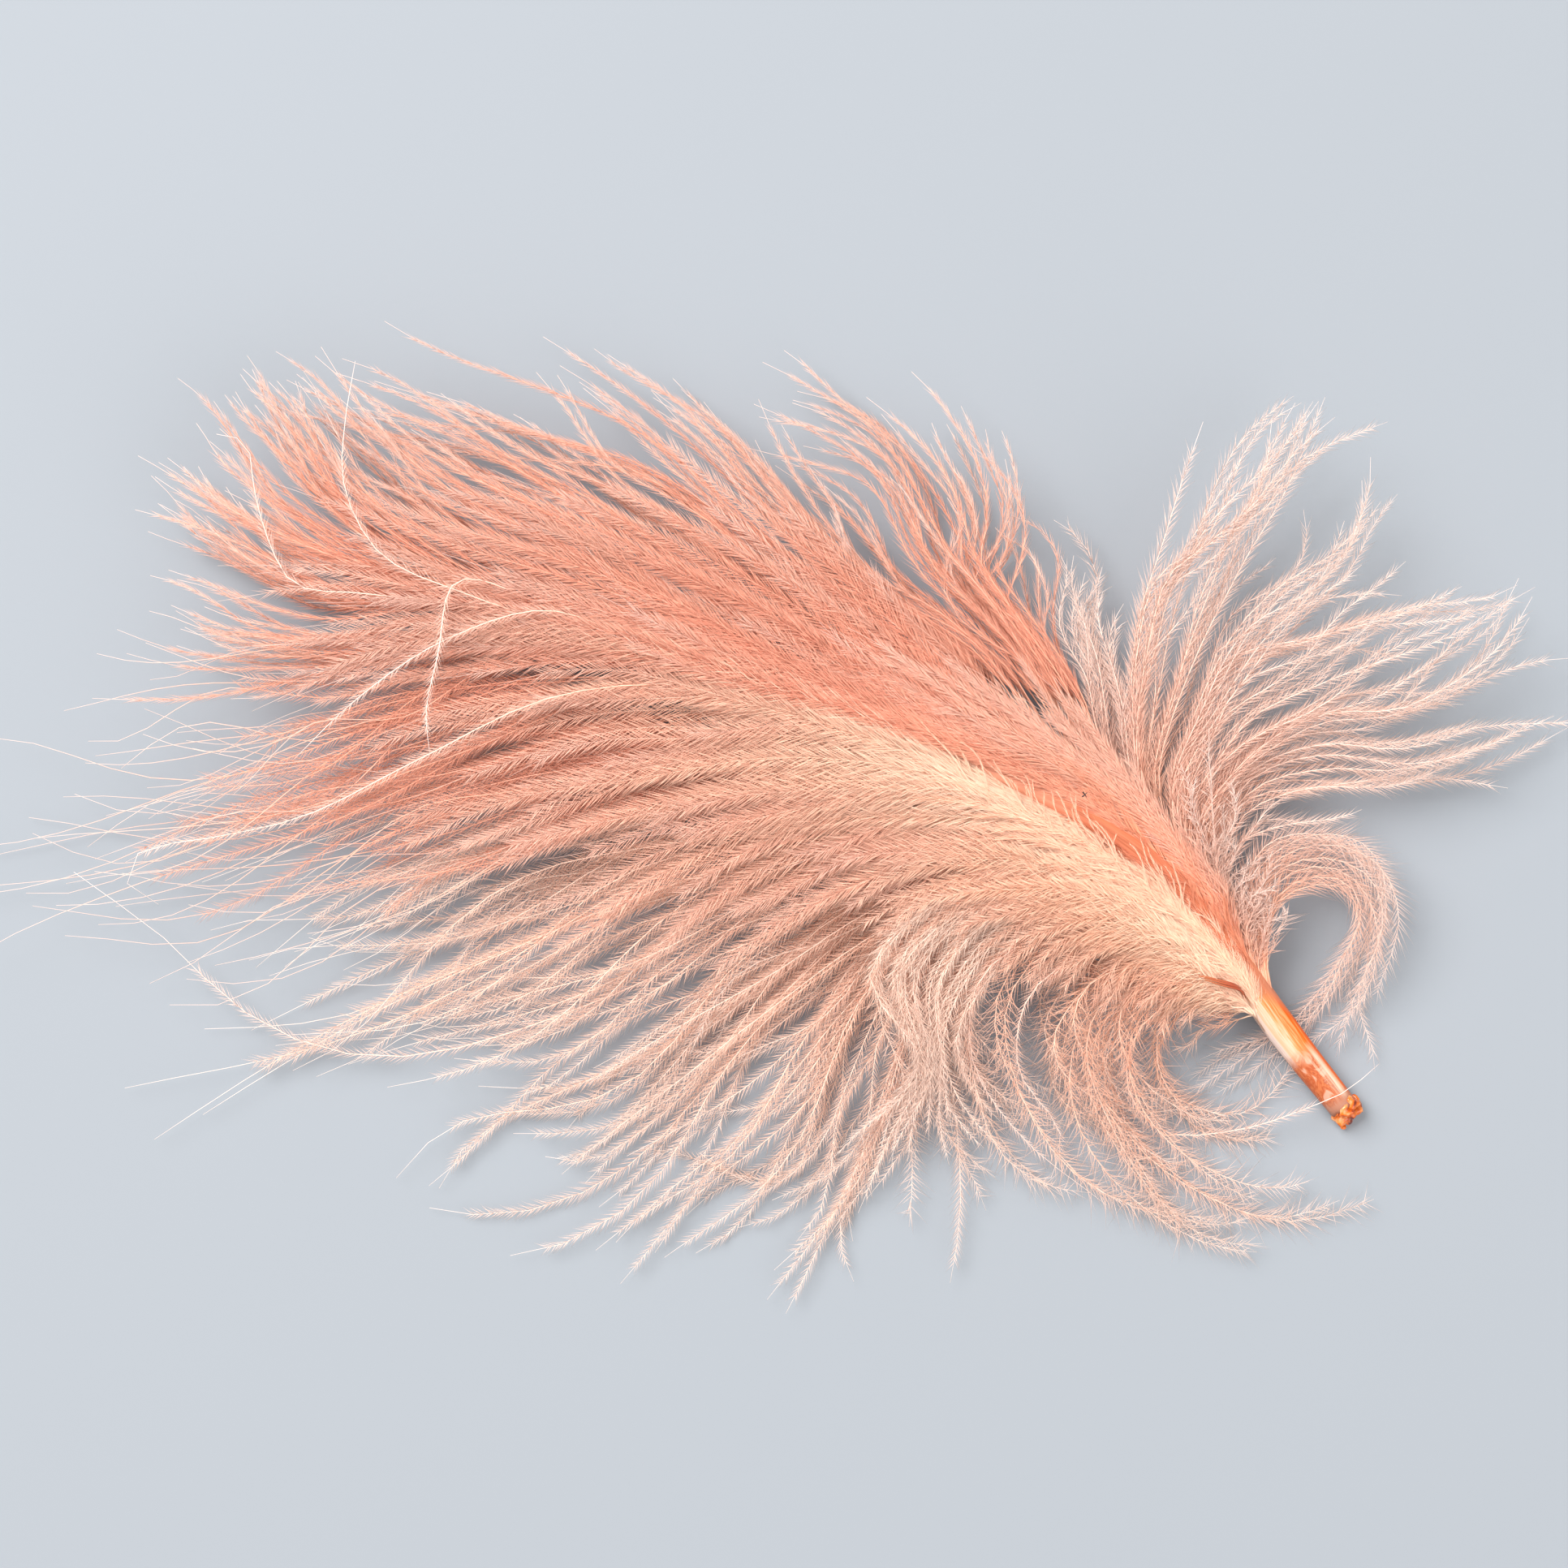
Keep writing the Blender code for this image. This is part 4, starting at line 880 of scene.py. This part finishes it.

# The groove: fine barbs that lie flat along the right half of the shaft's top, so that only a
# streak of it shows. Their deepest peach is dye with the painted shade of the trough.
GROOVE = [
    (10.4, [(28.2, -9, 4.5), (26.6, -6.9, 5.1), (24.9, -4.9, 5.65)]),
    (14, [(25.9, -6.2, 5.25), (24.1, -4.1, 5.85), (22.1, -2, 6.3)]),
    (17.5, [(23.9, -3.9, 5.85), (21.4, -1.6, 6.4), (18.7, 0.1, 6.8)]),
    (21, [(21, -1.9, 6.4), (18, -0.1, 6.9), (15, 1.3, 7.2)]),
]
GROOVE_BARBS = [(0, "#EA8A60"), (1, "#F09C78")]
GROOVE_HAIRS = [(0, "#E6845C"), (1, "#EE9874")]
groove_dyes_and_shade = dye_pair("dyed {} of the groove", GROOVE_BARBS, GROOVE_HAIRS)
grow("groove", GROOVE, RIGHT, groove_dyes_and_shade, per_gap=9, clump=(0.0, 0.3), shortest=0.6, spread=0.55,
     on_top=1.0, spacing=0.2, bare_tip=0.02, bare_root=0.8, openness=0.4, broad=0.7, tangle=0.6)

# The satin band: where the barbs of the lower side leave the shaft they are flat, broad and smooth,
# and overlap like strokes of a brush, cream against the orange of the groove.
SATIN_BAND = [
    (8.3, [(28.2, -12, 3.4), (26.3, -11.4, 4.3), (23.6, -10.9, 5.1)]),
    (8.4, [(28.1, -11.3, 3.9), (25.8, -10.6, 5), (22.8, -10.1, 5.8)]),
    (7.2, [(29.2, -11.4, 3.6), (27.6, -10, 4.4), (24.8, -9, 5.7), (20.8, -8, 7)]),
    (8.2, [(28.9, -10.8, 3.85), (27, -9.1, 4.7), (24, -7.7, 6), (19.8, -6.6, 7.5)]),
    (9.2, [(28.3, -10, 4.2), (26.3, -7.9, 5), (23.3, -6.1, 6.4), (19, -5.2, 7.9)]),
    (10.6, [(27.4, -9, 4.6), (25.2, -6.7, 5.4), (22, -5, 6.8), (17.2, -4.2, 8.3)]),
    (12.4, [(26.2, -7.6, 5.05), (23.8, -5.3, 5.9), (20.4, -3.8, 7.2), (15, -3, 8.6)]),
    (15, [(24.6, -5.9, 5.5), (21.8, -3.8, 6.5), (18.4, -2.6, 7.6), (12.6, -1.9, 8.9)]),
    (18, [(22.4, -4.1, 6.1), (19.4, -2.4, 6.9), (15.6, -1.2, 8), (9.6, -0.5, 9.1)]),
    (21.5, [(19.8, -2.5, 6.6), (16.4, -1, 7.3), (12.4, 0.2, 8.3), (6.4, 0.9, 9.2)]),
    (25.5, [(16.6, -0.7, 7), (12.8, 0.8, 7.6), (8.6, 1.9, 8.5), (2.8, 2.4, 9.2)]),
]
SATIN_BARBS = [(0, "#F8C09A"), (0.06, "#FFD0B0"), (0.4, "#FFD4B8"), (0.75, "#FFCDB0"), (1, "#FFC6A8")]
SATIN_HAIRS = [(0, "#F8C09A"), (0.06, "#FFCEAE"), (0.5, "#FFCEB0"), (1, "#FFC2A2")]
satin_dyes = (dyed_down("satin barb bases", SATIN_BARBS, darkest=0.93),
              dyed_down("satin barbules", SATIN_HAIRS, darkest=0.93))
grow("satin", SATIN_BAND, LEFT, satin_dyes, per_gap=15, clump=(0.0, 0.2), shortest=0.4, spread=0.4,
     on_top=1.0, spacing=0.2, bare_root=0.8, openness=0.45, broad=1.8, tangle=0.5, hair=1.1)

# The satin tips: the band's last strokes, as fine as hairs, which run across the groove's lower edge,
# steeper than the shaft, and thin out there.
SATIN_TIPS = [
    (12.5, [(25.7, -7.3, 5.5), (24.8, -5.7, 6.2), (23.9, -4, 6.7)]),
    (15.5, [(23.7, -5.3, 6.3), (22.7, -3.5, 6.9), (21.6, -1.7, 7.3)]),
    (19, [(21, -3.3, 6.9), (19.8, -1.4, 7.4), (18.5, 0.5, 7.7)]),
    (22.5, [(18.2, -1.7, 7.3), (16.9, 0.3, 7.8), (15.5, 2.2, 8)]),
    (26.5, [(15, 0.1, 7.8), (13.5, 2.1, 8.3), (12, 4.1, 8.5)]),
    (31, [(11.2, 2, 8.2), (9.4, 4, 8.7), (7.4, 6, 8.9)]),
]
grow("satin_tips", SATIN_TIPS, LEFT, satin_dyes, per_gap=15, clump=(0.0, 0.3), shortest=0.25, spread=0.25,
     on_top=1.0, spacing=0.3, bare_tip=0.02, bare_root=0.8, fullness=0.4, openness=0.35, broad=0.7,
     tangle=0.3, hair=0.8)

# A slit between the two lowest lobes of the satin band, where the flat bases of three barbs show.
# They have no barbules there, and they are coloured as the shaft's deep orange darkened by painted
# shade.
SLIT = [
    (9.8, [(27.9, -10.65, 4.9), (26.9, -10.4, 5.4), (25.8, -10.05, 5.6)]),
    (9.9, [(27.8, -10.5, 5), (26.7, -10.2, 5.5), (25.4, -9.8, 5.7)]),
    (10, [(27.7, -10.4, 5), (26.6, -10.05, 5.5), (25.6, -9.8, 5.7)]),
]
SLIT_SHADED_ORANGE = [(0, "#C8642C"), (0.5, "#B8481A"), (1, "#D07848")]
slit_painted_shade = dyed_down("barb bases, deep orange with painted shade", SLIT_SHADED_ORANGE, darkest=0.8)
slit_lines = np.array([grown_from(row, LEFT) for row in SLIT])
barb_piece("slit_barbs_painted_shade", slit_lines, np.arange(len(slit_lines)), slit_painted_shade, broad=2.2)

# The curls: the lowest barbs on the quill's right, of the palest peach. They stand up beside the
# quill and loop right over, and the longest run back beneath it.
CURLS = [
    (9.2, [(29.9, -8.4, 3.2), (30.2, -5.8, 3.8), (31.8, -4.7, 4), (34.4, -4.6, 3.8), (35.3, -6.2, 3.2),
        (33.6, -9.2, 2.2), (31.2, -12, 0.7), (28.2, -14.1, 0.7), (23.9, -17, 0.7)]),
    (9.5, [(29.7, -7.9, 3.3), (30.2, -4.9, 3.9), (32.6, -3.6, 4.2), (35.6, -4.3, 4), (36.5, -6.6, 3.2),
        (35, -10.4, 2), (32.4, -13.8, 0.5), (29.6, -15.1, 0.5), (24.6, -17.4, 0.5)]),
    (9.8, [(29.4, -7.2, 3.3), (30, -4.1, 4.1), (33, -2.9, 4.4), (36.2, -4.2, 4.2), (37, -7, 3.4),
        (36, -10.2, 2.2), (34.8, -13, 1.2), (33.8, -15.2, 0.4)]),
    (10.1, [(29, -6.6, 3.4), (29.8, -3.4, 4.2), (33.2, -2.1, 4.5), (36.4, -3.6, 4.3), (37.2, -6.6, 3.6),
        (36.4, -9.6, 2.6), (35.6, -12, 1.6), (36.2, -14.4, 1.1), (36, -16.4, 0.9)]),
    (10.6, [(28.5, -5.8, 3.6), (29.6, -2.6, 4.2), (32.6, -1.2, 4.4), (35.4, -2.2, 4.3), (36.4, -4.6, 4),
        (37.4, -7.4, 3.3), (38, -8.6, 3)]),
    (11, [(28.1, -5, 3.7), (29.4, -1.8, 4.2), (32.4, -0.9, 4.2), (35.2, -1.6, 4.2), (37.4, -3.4, 3.9),
        (38.6, -4.8, 3.6)]),
]
PALE_BARBS = [(0, "#F5A884"), (0.12, "#FDC2A2"), (0.3, "#FCCFB8"), (0.6, "#FCDCCC"), (1, "#FFEDE4")]
PALE_HAIRS = [(0, "#F2A07C"), (0.12, "#FAB898"), (0.3, "#F6BFA8"), (0.6, "#F4CAB8"), (1, "#F6D8CA")]
pale_dyes = dye_pair("dyed {}, pale peach", PALE_BARBS, PALE_HAIRS)
grow("curls", CURLS, RIGHT, pale_dyes, per_gap=3, locks_a_gap=1, clump=(0.0, 0.7), shortest=0.85,
     spread=1.0, spacing=0.24, bare_tip=0.04, bare_root=2.5, fullness=1.35, openness=1.2, broad=0.75,
     tangle=0.7, hair=0.75)

# The tuft: the next barbs on the quill's right, as pale as the curls. They stand off in a spray of
# narrow, see-through plumes up and to the right.
TUFT = [
    (11.4, [(27.2, -4, 4), (29, -0.4, 4), (32, 0.4, 3.6), (34.5, 1, 3)]),
    (12, [(26.5, -2.8, 4.2), (28.4, 1, 4.4), (33, 2, 4.4), (38, 2.4, 4.2), (43, 3.2, 3.8),
        (48.6, 3.6, 3.4)]),
    (12.5, [(26.2, -2.2, 4.4), (29, 2.4, 4.6), (34, 4.2, 4.8), (38, 3.7, 4.8), (42, 4.2, 4.4), (45, 5, 4),
        (50.5, 8, 3.6)]),
    (12.9, [(25.9, -1.6, 4.6), (29, 3.7, 5), (33, 5.9, 5.2), (37, 6.1, 5.2), (42, 6.9, 5),
        (50.6, 9.2, 4.4)]),
    (13.5, [(25.4, -0.8, 4.8), (29.4, 4.4, 5.4), (34, 6.2, 5.8), (38.5, 6.2, 5.8), (41, 8, 5.8),
        (43.5, 10.3, 5.8), (45, 12, 5.6), (47.3, 15, 5.4)]),
    (14, [(25.2, -0.2, 4.9), (28.8, 4.6, 5.6), (32, 6.8, 6), (35, 8, 6.1), (37, 8, 6), (40.2, 7.9, 5.8)]),
    (14.4, [(24.8, 0.2, 5), (28.2, 4.4, 5.8), (33, 7.2, 6.2), (36, 8.8, 6.3), (39, 10.8, 6.2),
        (41.5, 13, 6), (42.3, 14.7, 5.8)]),
    (14.8, [(24.6, 0.8, 5.1), (26.4, 6.4, 6), (27.5, 9.9, 6.6), (31, 10.4, 6.8), (35.5, 10.9, 6.8),
        (40, 11, 6.6), (45, 12.3, 6.2), (47.2, 13.6, 6)]),
    (15.3, [(24.2, 1.2, 5.2), (26.6, 6.4, 6), (29.4, 9.4, 6.6), (32.8, 12.8, 7), (34.9, 14.9, 7),
        (36, 17.5, 6.8), (37.7, 19.8, 6.4)]),
    (16, [(23.6, 1.8, 5.2), (25.8, 7.2, 6.2), (28, 11, 7), (31, 14.4, 7.4), (34, 16.9, 7.6),
        (35.3, 19.5, 7.2), (36, 22.4, 6.8)]),
    (16.6, [(23.2, 2.4, 5.3), (25, 7.4, 6.2), (27.4, 12.2, 7), (30.4, 15.2, 7.4), (31.4, 18.4, 7.4),
        (32, 22.5, 7)]),
    (17.2, [(22.8, 2.8, 5.4), (24, 7, 6.2), (25.2, 10.2, 6.8), (26.9, 14.4, 7.2), (28, 17.8, 7.6),
        (29.4, 20.3, 7.8), (31.7, 24.4, 7.4), (33, 26.3, 6.8)]),
    (17.9, [(22.2, 3.4, 5.5), (22.8, 7.6, 6.2), (23.7, 11.8, 6.8), (25.2, 15.4, 7.2), (27.1, 19.5, 7.6),
        (28.7, 21.9, 7.6), (32.3, 24.7, 7)]),
    (18.6, [(21.6, 4, 5.6), (21.4, 8, 6.2), (21.8, 12, 6.8), (22.6, 15.6, 7.2), (24.7, 17, 7.4),
        (29.1, 19.7, 7.8), (31, 21.8, 7.8), (36.4, 25.8, 7.4)]),
    (19.5, [(21, 4.6, 5.6), (20.8, 8.6, 6), (21.4, 12.2, 5.8), (22, 15.4, 5)]),
    (20.2, [(20.4, 5.2, 5.7), (19.6, 8.8, 6), (18.7, 12.2, 5.8), (21, 14.4, 5)]),
    (20.8, [(19.8, 5.8, 5.8), (18.9, 9, 6), (18.3, 12.6, 5.6), (18, 16.4, 4.6)]),
    (21.6, [(18.8, 6.4, 6), (17.8, 9.4, 6.2), (16.9, 12.4, 5.6), (16.7, 15.6, 5), (15.6, 16.8, 4.6),
        (13.4, 17.9, 4.4)]),
]
grow("tuft", TUFT, RIGHT, pale_dyes, per_gap=5, locks_a_gap=1, clump=(0.3, 1.0), spread=1.3,
     spacing=0.215, bare_tip=0.05, bare_root=6.0, fullness=1.1, openness=0.9, tangle=0.7, hair=0.85)

# The fuzz along the right side of the quill's top: short curly barbs of pale peach that stand off
# it and fill the foot of the tuft.
FUZZ = [
    (9.3, [(29.7, -8.6, 3.4), (30.1, -6.8, 3.8), (29.6, -5.4, 3.8)]),
    (10.2, [(28.9, -6.9, 3.8), (29.6, -4.8, 4.2), (29.2, -3.2, 4.2)]),
    (11.2, [(28, -5.2, 4.3), (28.6, -2.8, 4.6), (28.2, -0.8, 4.6)]),
    (12.4, [(26.9, -3.4, 4.8), (27.2, -0.6, 5.2), (26.6, 1.6, 5.2)]),
    (14, [(25.4, -1.2, 5.4), (25, 1.8, 5.9), (23.8, 4.6, 6)]),
]
grow("fuzz", FUZZ, RIGHT, pale_dyes, per_gap=8, clump=(0.0, 0.6), shortest=0.5, spread=0.8, on_top=0.8,
     bare_tip=0.02, bare_root=0.8, openness=1.3, broad=0.6, tangle=1.4)

# The upper vane: barbs that lie along the shaft at first, then fan out to the upper left and end
# in thin wavy points.
UPPER_VANE = TUFT[-1:] + [
    (22.2, [(17.6, 7.6, 6.2), (14.6, 11.4, 6), (11.2, 14.6, 5.2), (12.6, 16.6, 4.8), (13, 18.2, 4.5),
        (12.3, 22.5, 3.8), (11, 25.3, 3.2), (8.6, 27.1, 3)]),
    (22.8, [(16.8, 8, 6.4), (13.4, 12.2, 6), (10.9, 15.2, 5.4), (11.8, 18.3, 4.6), (9.3, 22.3, 4),
        (7.4, 25.2, 3.6), (4.5, 26.8, 3.2), (1.7, 26.9, 3)]),
    (23.4, [(16, 8.4, 6.5), (12.6, 12.8, 6), (10, 15.8, 5.4), (7.6, 20, 4.4), (5.8, 22.3, 4),
        (1.8, 24.4, 3.6), (-3.6, 27.6, 3.2)]),
    (24, [(15, 8.6, 6.6), (11, 13, 6), (8, 15.6, 5.4), (6.3, 20.4, 4.4), (3.2, 22.4, 4),
        (-3.6, 23.6, 3.8)]),
    (25, [(13.4, 9, 6.8), (8.5, 13.2, 6.2), (4.5, 16.8, 5.4), (2, 20.8, 4.4), (0.9, 23.4, 3.8),
        (0.1, 26.4, 3.4)]),
    (26.2, [(11.6, 9.6, 7), (6, 13.4, 6.4), (1.4, 16.2, 5.8), (-2.2, 20.8, 4.8), (-4.6, 24.6, 4.2),
        (-5.8, 26.4, 3.8)]),
    (27.6, [(9.4, 10.4, 7.2), (4, 14.6, 6.6), (-2, 21, 5.2), (-5.8, 24.7, 4.4), (-10, 27.8, 3.8),
        (-15.4, 31.1, 3.4)]),
    (29.2, [(7.2, 11.2, 7.4), (1.6, 15.4, 6.7), (-3.4, 20.2, 5.6), (-7.8, 24.6, 4.6), (-15.6, 29.8, 3.8)]),
    (31, [(5, 11.8, 7.5), (-1, 16, 6.8), (-6, 20.6, 5.8), (-11, 23.4, 5), (-18, 24.8, 4.6),
        (-25, 26.6, 4.4), (-30.6, 27.8, 4.6)]),
    (33.5, [(2.4, 12.4, 7.6), (-4, 16.6, 7), (-9.6, 20.8, 5.9), (-12.4, 25, 4.8), (-15.6, 28, 4)]),
    (36.5, [(-0.6, 12.8, 7.7), (-7, 17.2, 7), (-13.4, 21.4, 6), (-20, 24.8, 5.2), (-28, 27.4, 5),
        (-34.4, 29.3, 5)]),
    (40.5, [(-4.4, 13.4, 7.6), (-11.4, 17.6, 7), (-18.6, 21.6, 6.2), (-25, 25, 5.6), (-31.2, 29, 5.2)]),
    (45, [(-9, 14.2, 7.4), (-15.6, 17.6, 7), (-22.4, 21.4, 6.4), (-27.6, 25, 5.8), (-30.4, 29.2, 5.4)]),
    (50, [(-14, 14.8, 7.2), (-20, 18, 7), (-25.8, 22.4, 6.5), (-30, 26.4, 6), (-32.6, 28.8, 5.6)]),
    (55, [(-19, 15.6, 6.9), (-24.4, 18.6, 6.9), (-29, 23.4, 6.5), (-32.2, 27.6, 5.9), (-34.4, 29.4, 5.6)]),
    (59, [(-22.6, 16.2, 6.6), (-26.6, 19.2, 6.7), (-30.6, 23.8, 6.4), (-35.2, 28.4, 5.7)]),
] + TIP[-1:]
grow("upper_vane", UPPER_VANE, RIGHT, peach_dyes, per_gap=8, clump=(0.6, 1.0), shortest=0.68, spread=1.0,
     spacing=0.24, bare_tip=0.06, bare_root=9.0, openness=0.45, tangle=0.7)

# Stray barbs: single ones that have come loose from their neighbours and lie across the plume or
# curl back beyond its edge.
STRAYS = [
    (LEFT, (46, [(-14.2, 7.2, 8.4), (-22.4, 3.4, 7), (-30, -0.2, 5), (-36, -1.5, 3.6), (-40, -2.4, 3),
        (-40.9, -3.6, 2.8), (-38.7, -5.5, 2.6)])),
    (LEFT, (26, [(5, -2, 4.6), (-6, -9, 2.6), (-15, -12.8, 1.6), (-21, -14.6, 1.4), (-25, -15, 1.6),
        (-30, -14, 1.7), (-35, -11, 1.8), (-37.4, -8.5, 2), (-44, -3.5, 2.2)])),
    (RIGHT, (58.5, [(-20.2, 14, 8.2), (-21, 10, 8.4), (-21.8, 6, 7.8), (-21.6, 3.8, 7.2)])),
    (LEFT, (52, [(-15, 12.5, 8.4), (-20, 11, 8.2), (-26.5, 6.8, 6.8), (-30, 3.5, 5.6)])),
    (LEFT, (9.4, [(26, -10.8, 4.6), (22.2, -12.6, 5), (21.2, -16.6, 3), (23.4, -19.6, 1.2), (28, -19.6, 1),
        (32.5, -18.1, 2.1), (34.7, -17.1, 2.6), (36.9, -15.4, 1.9)])),
    (LEFT, (11.8, [(19.5, -8, 7), (15.4, -10.4, 7), (14.4, -15.4, 3.8), (17.2, -20.6, 1.2),
        (16.4, -22.7, 0.7), (15.2, -22.7, 0.5)])),
    (LEFT, (12.2, [(17.8, -6.6, 7.6), (12.2, -9.6, 7), (11.6, -15, 3.8), (14.8, -20, 1.4),
        (20, -24.2, 0.7)])),
    (RIGHT, (61, [(-25.6, 13.6, 6.4), (-30.2, 14.4, 6.2), (-31.6, 17, 6.2), (-32.4, 19.8, 6.2),
        (-33.2, 23, 5.8), (-34.8, 23.4, 5.6)])),
    (RIGHT, (54, [(-19, 13.4, 7.6), (-25, 16.4, 7.2), (-26.9, 20.5, 7.2), (-26.8, 24, 7),
        (-26.2, 27.8, 6.6)])),
]
stray_lines = np.array([grown_from(row, flank) for flank, row in STRAYS])
stray_tones = np.full(len(stray_lines), TONES - 1)
barb_piece("stray_barbs", stray_lines, stray_tones, pale_dyes[0], broad=1.1)
barbule_piece("stray_down", stray_lines, stray_tones, pale_dyes[1], spacing=0.24, bare_tip=0.15,
              bare_root=6.0, fullness=0.8, openness=1.0, tangle=0.5, hair=0.9,
              chance=np.random.default_rng(SEED))

# A speck of dark, dry dirt has caught in the barbs beside the groove: two crossed splinters, each
# thinner at one end.
SPECK_PLACE = Vector((18.3, 1.3, 8.0))
SPECK_LENGTH = 0.42
SPECK_RADII = (0.05, 0.02)
SPECK_TURNS = [0.6, 2.3]

dirt, dirt_surface = new_material("dry dirt", roughness=0.8)
# Its grain is about 0.1 mm.
dirt_spot = add_node(dirt, "ShaderNodeTexCoord")
dirt_grain = add_node(dirt, "ShaderNodeTexNoise", {"Scale": 9000.0}, {"Vector": dirt_spot.outputs["Object"]})
dirt_tone = add_node(dirt, "ShaderNodeValToRGB", links={"Fac": dirt_grain.outputs["Fac"]})
set_stops(dirt_tone, [(0.35, "#2A201C"), (0.65, "#5A4840")])
dirt.node_tree.links.new(dirt_tone.outputs["Color"], dirt_surface.inputs["Base Color"])
speck_shape = bmesh.new()
for turn in SPECK_TURNS:
    made = bmesh.ops.create_cone(speck_shape, cap_ends=True, segments=8, radius1=SPECK_RADII[0] * MM,
                                 radius2=SPECK_RADII[1] * MM, depth=SPECK_LENGTH * MM)["verts"]
    lie = Matrix.Rotation(turn, 4, "Z") @ Matrix.Rotation(np.pi / 2, 4, "X")
    bmesh.ops.transform(speck_shape, matrix=Matrix.Translation(SPECK_PLACE * MM) @ lie, verts=made)
speck = add_piece("dirt_speck", speck_shape, dirt)
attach(speck, "root")
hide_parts("feather")
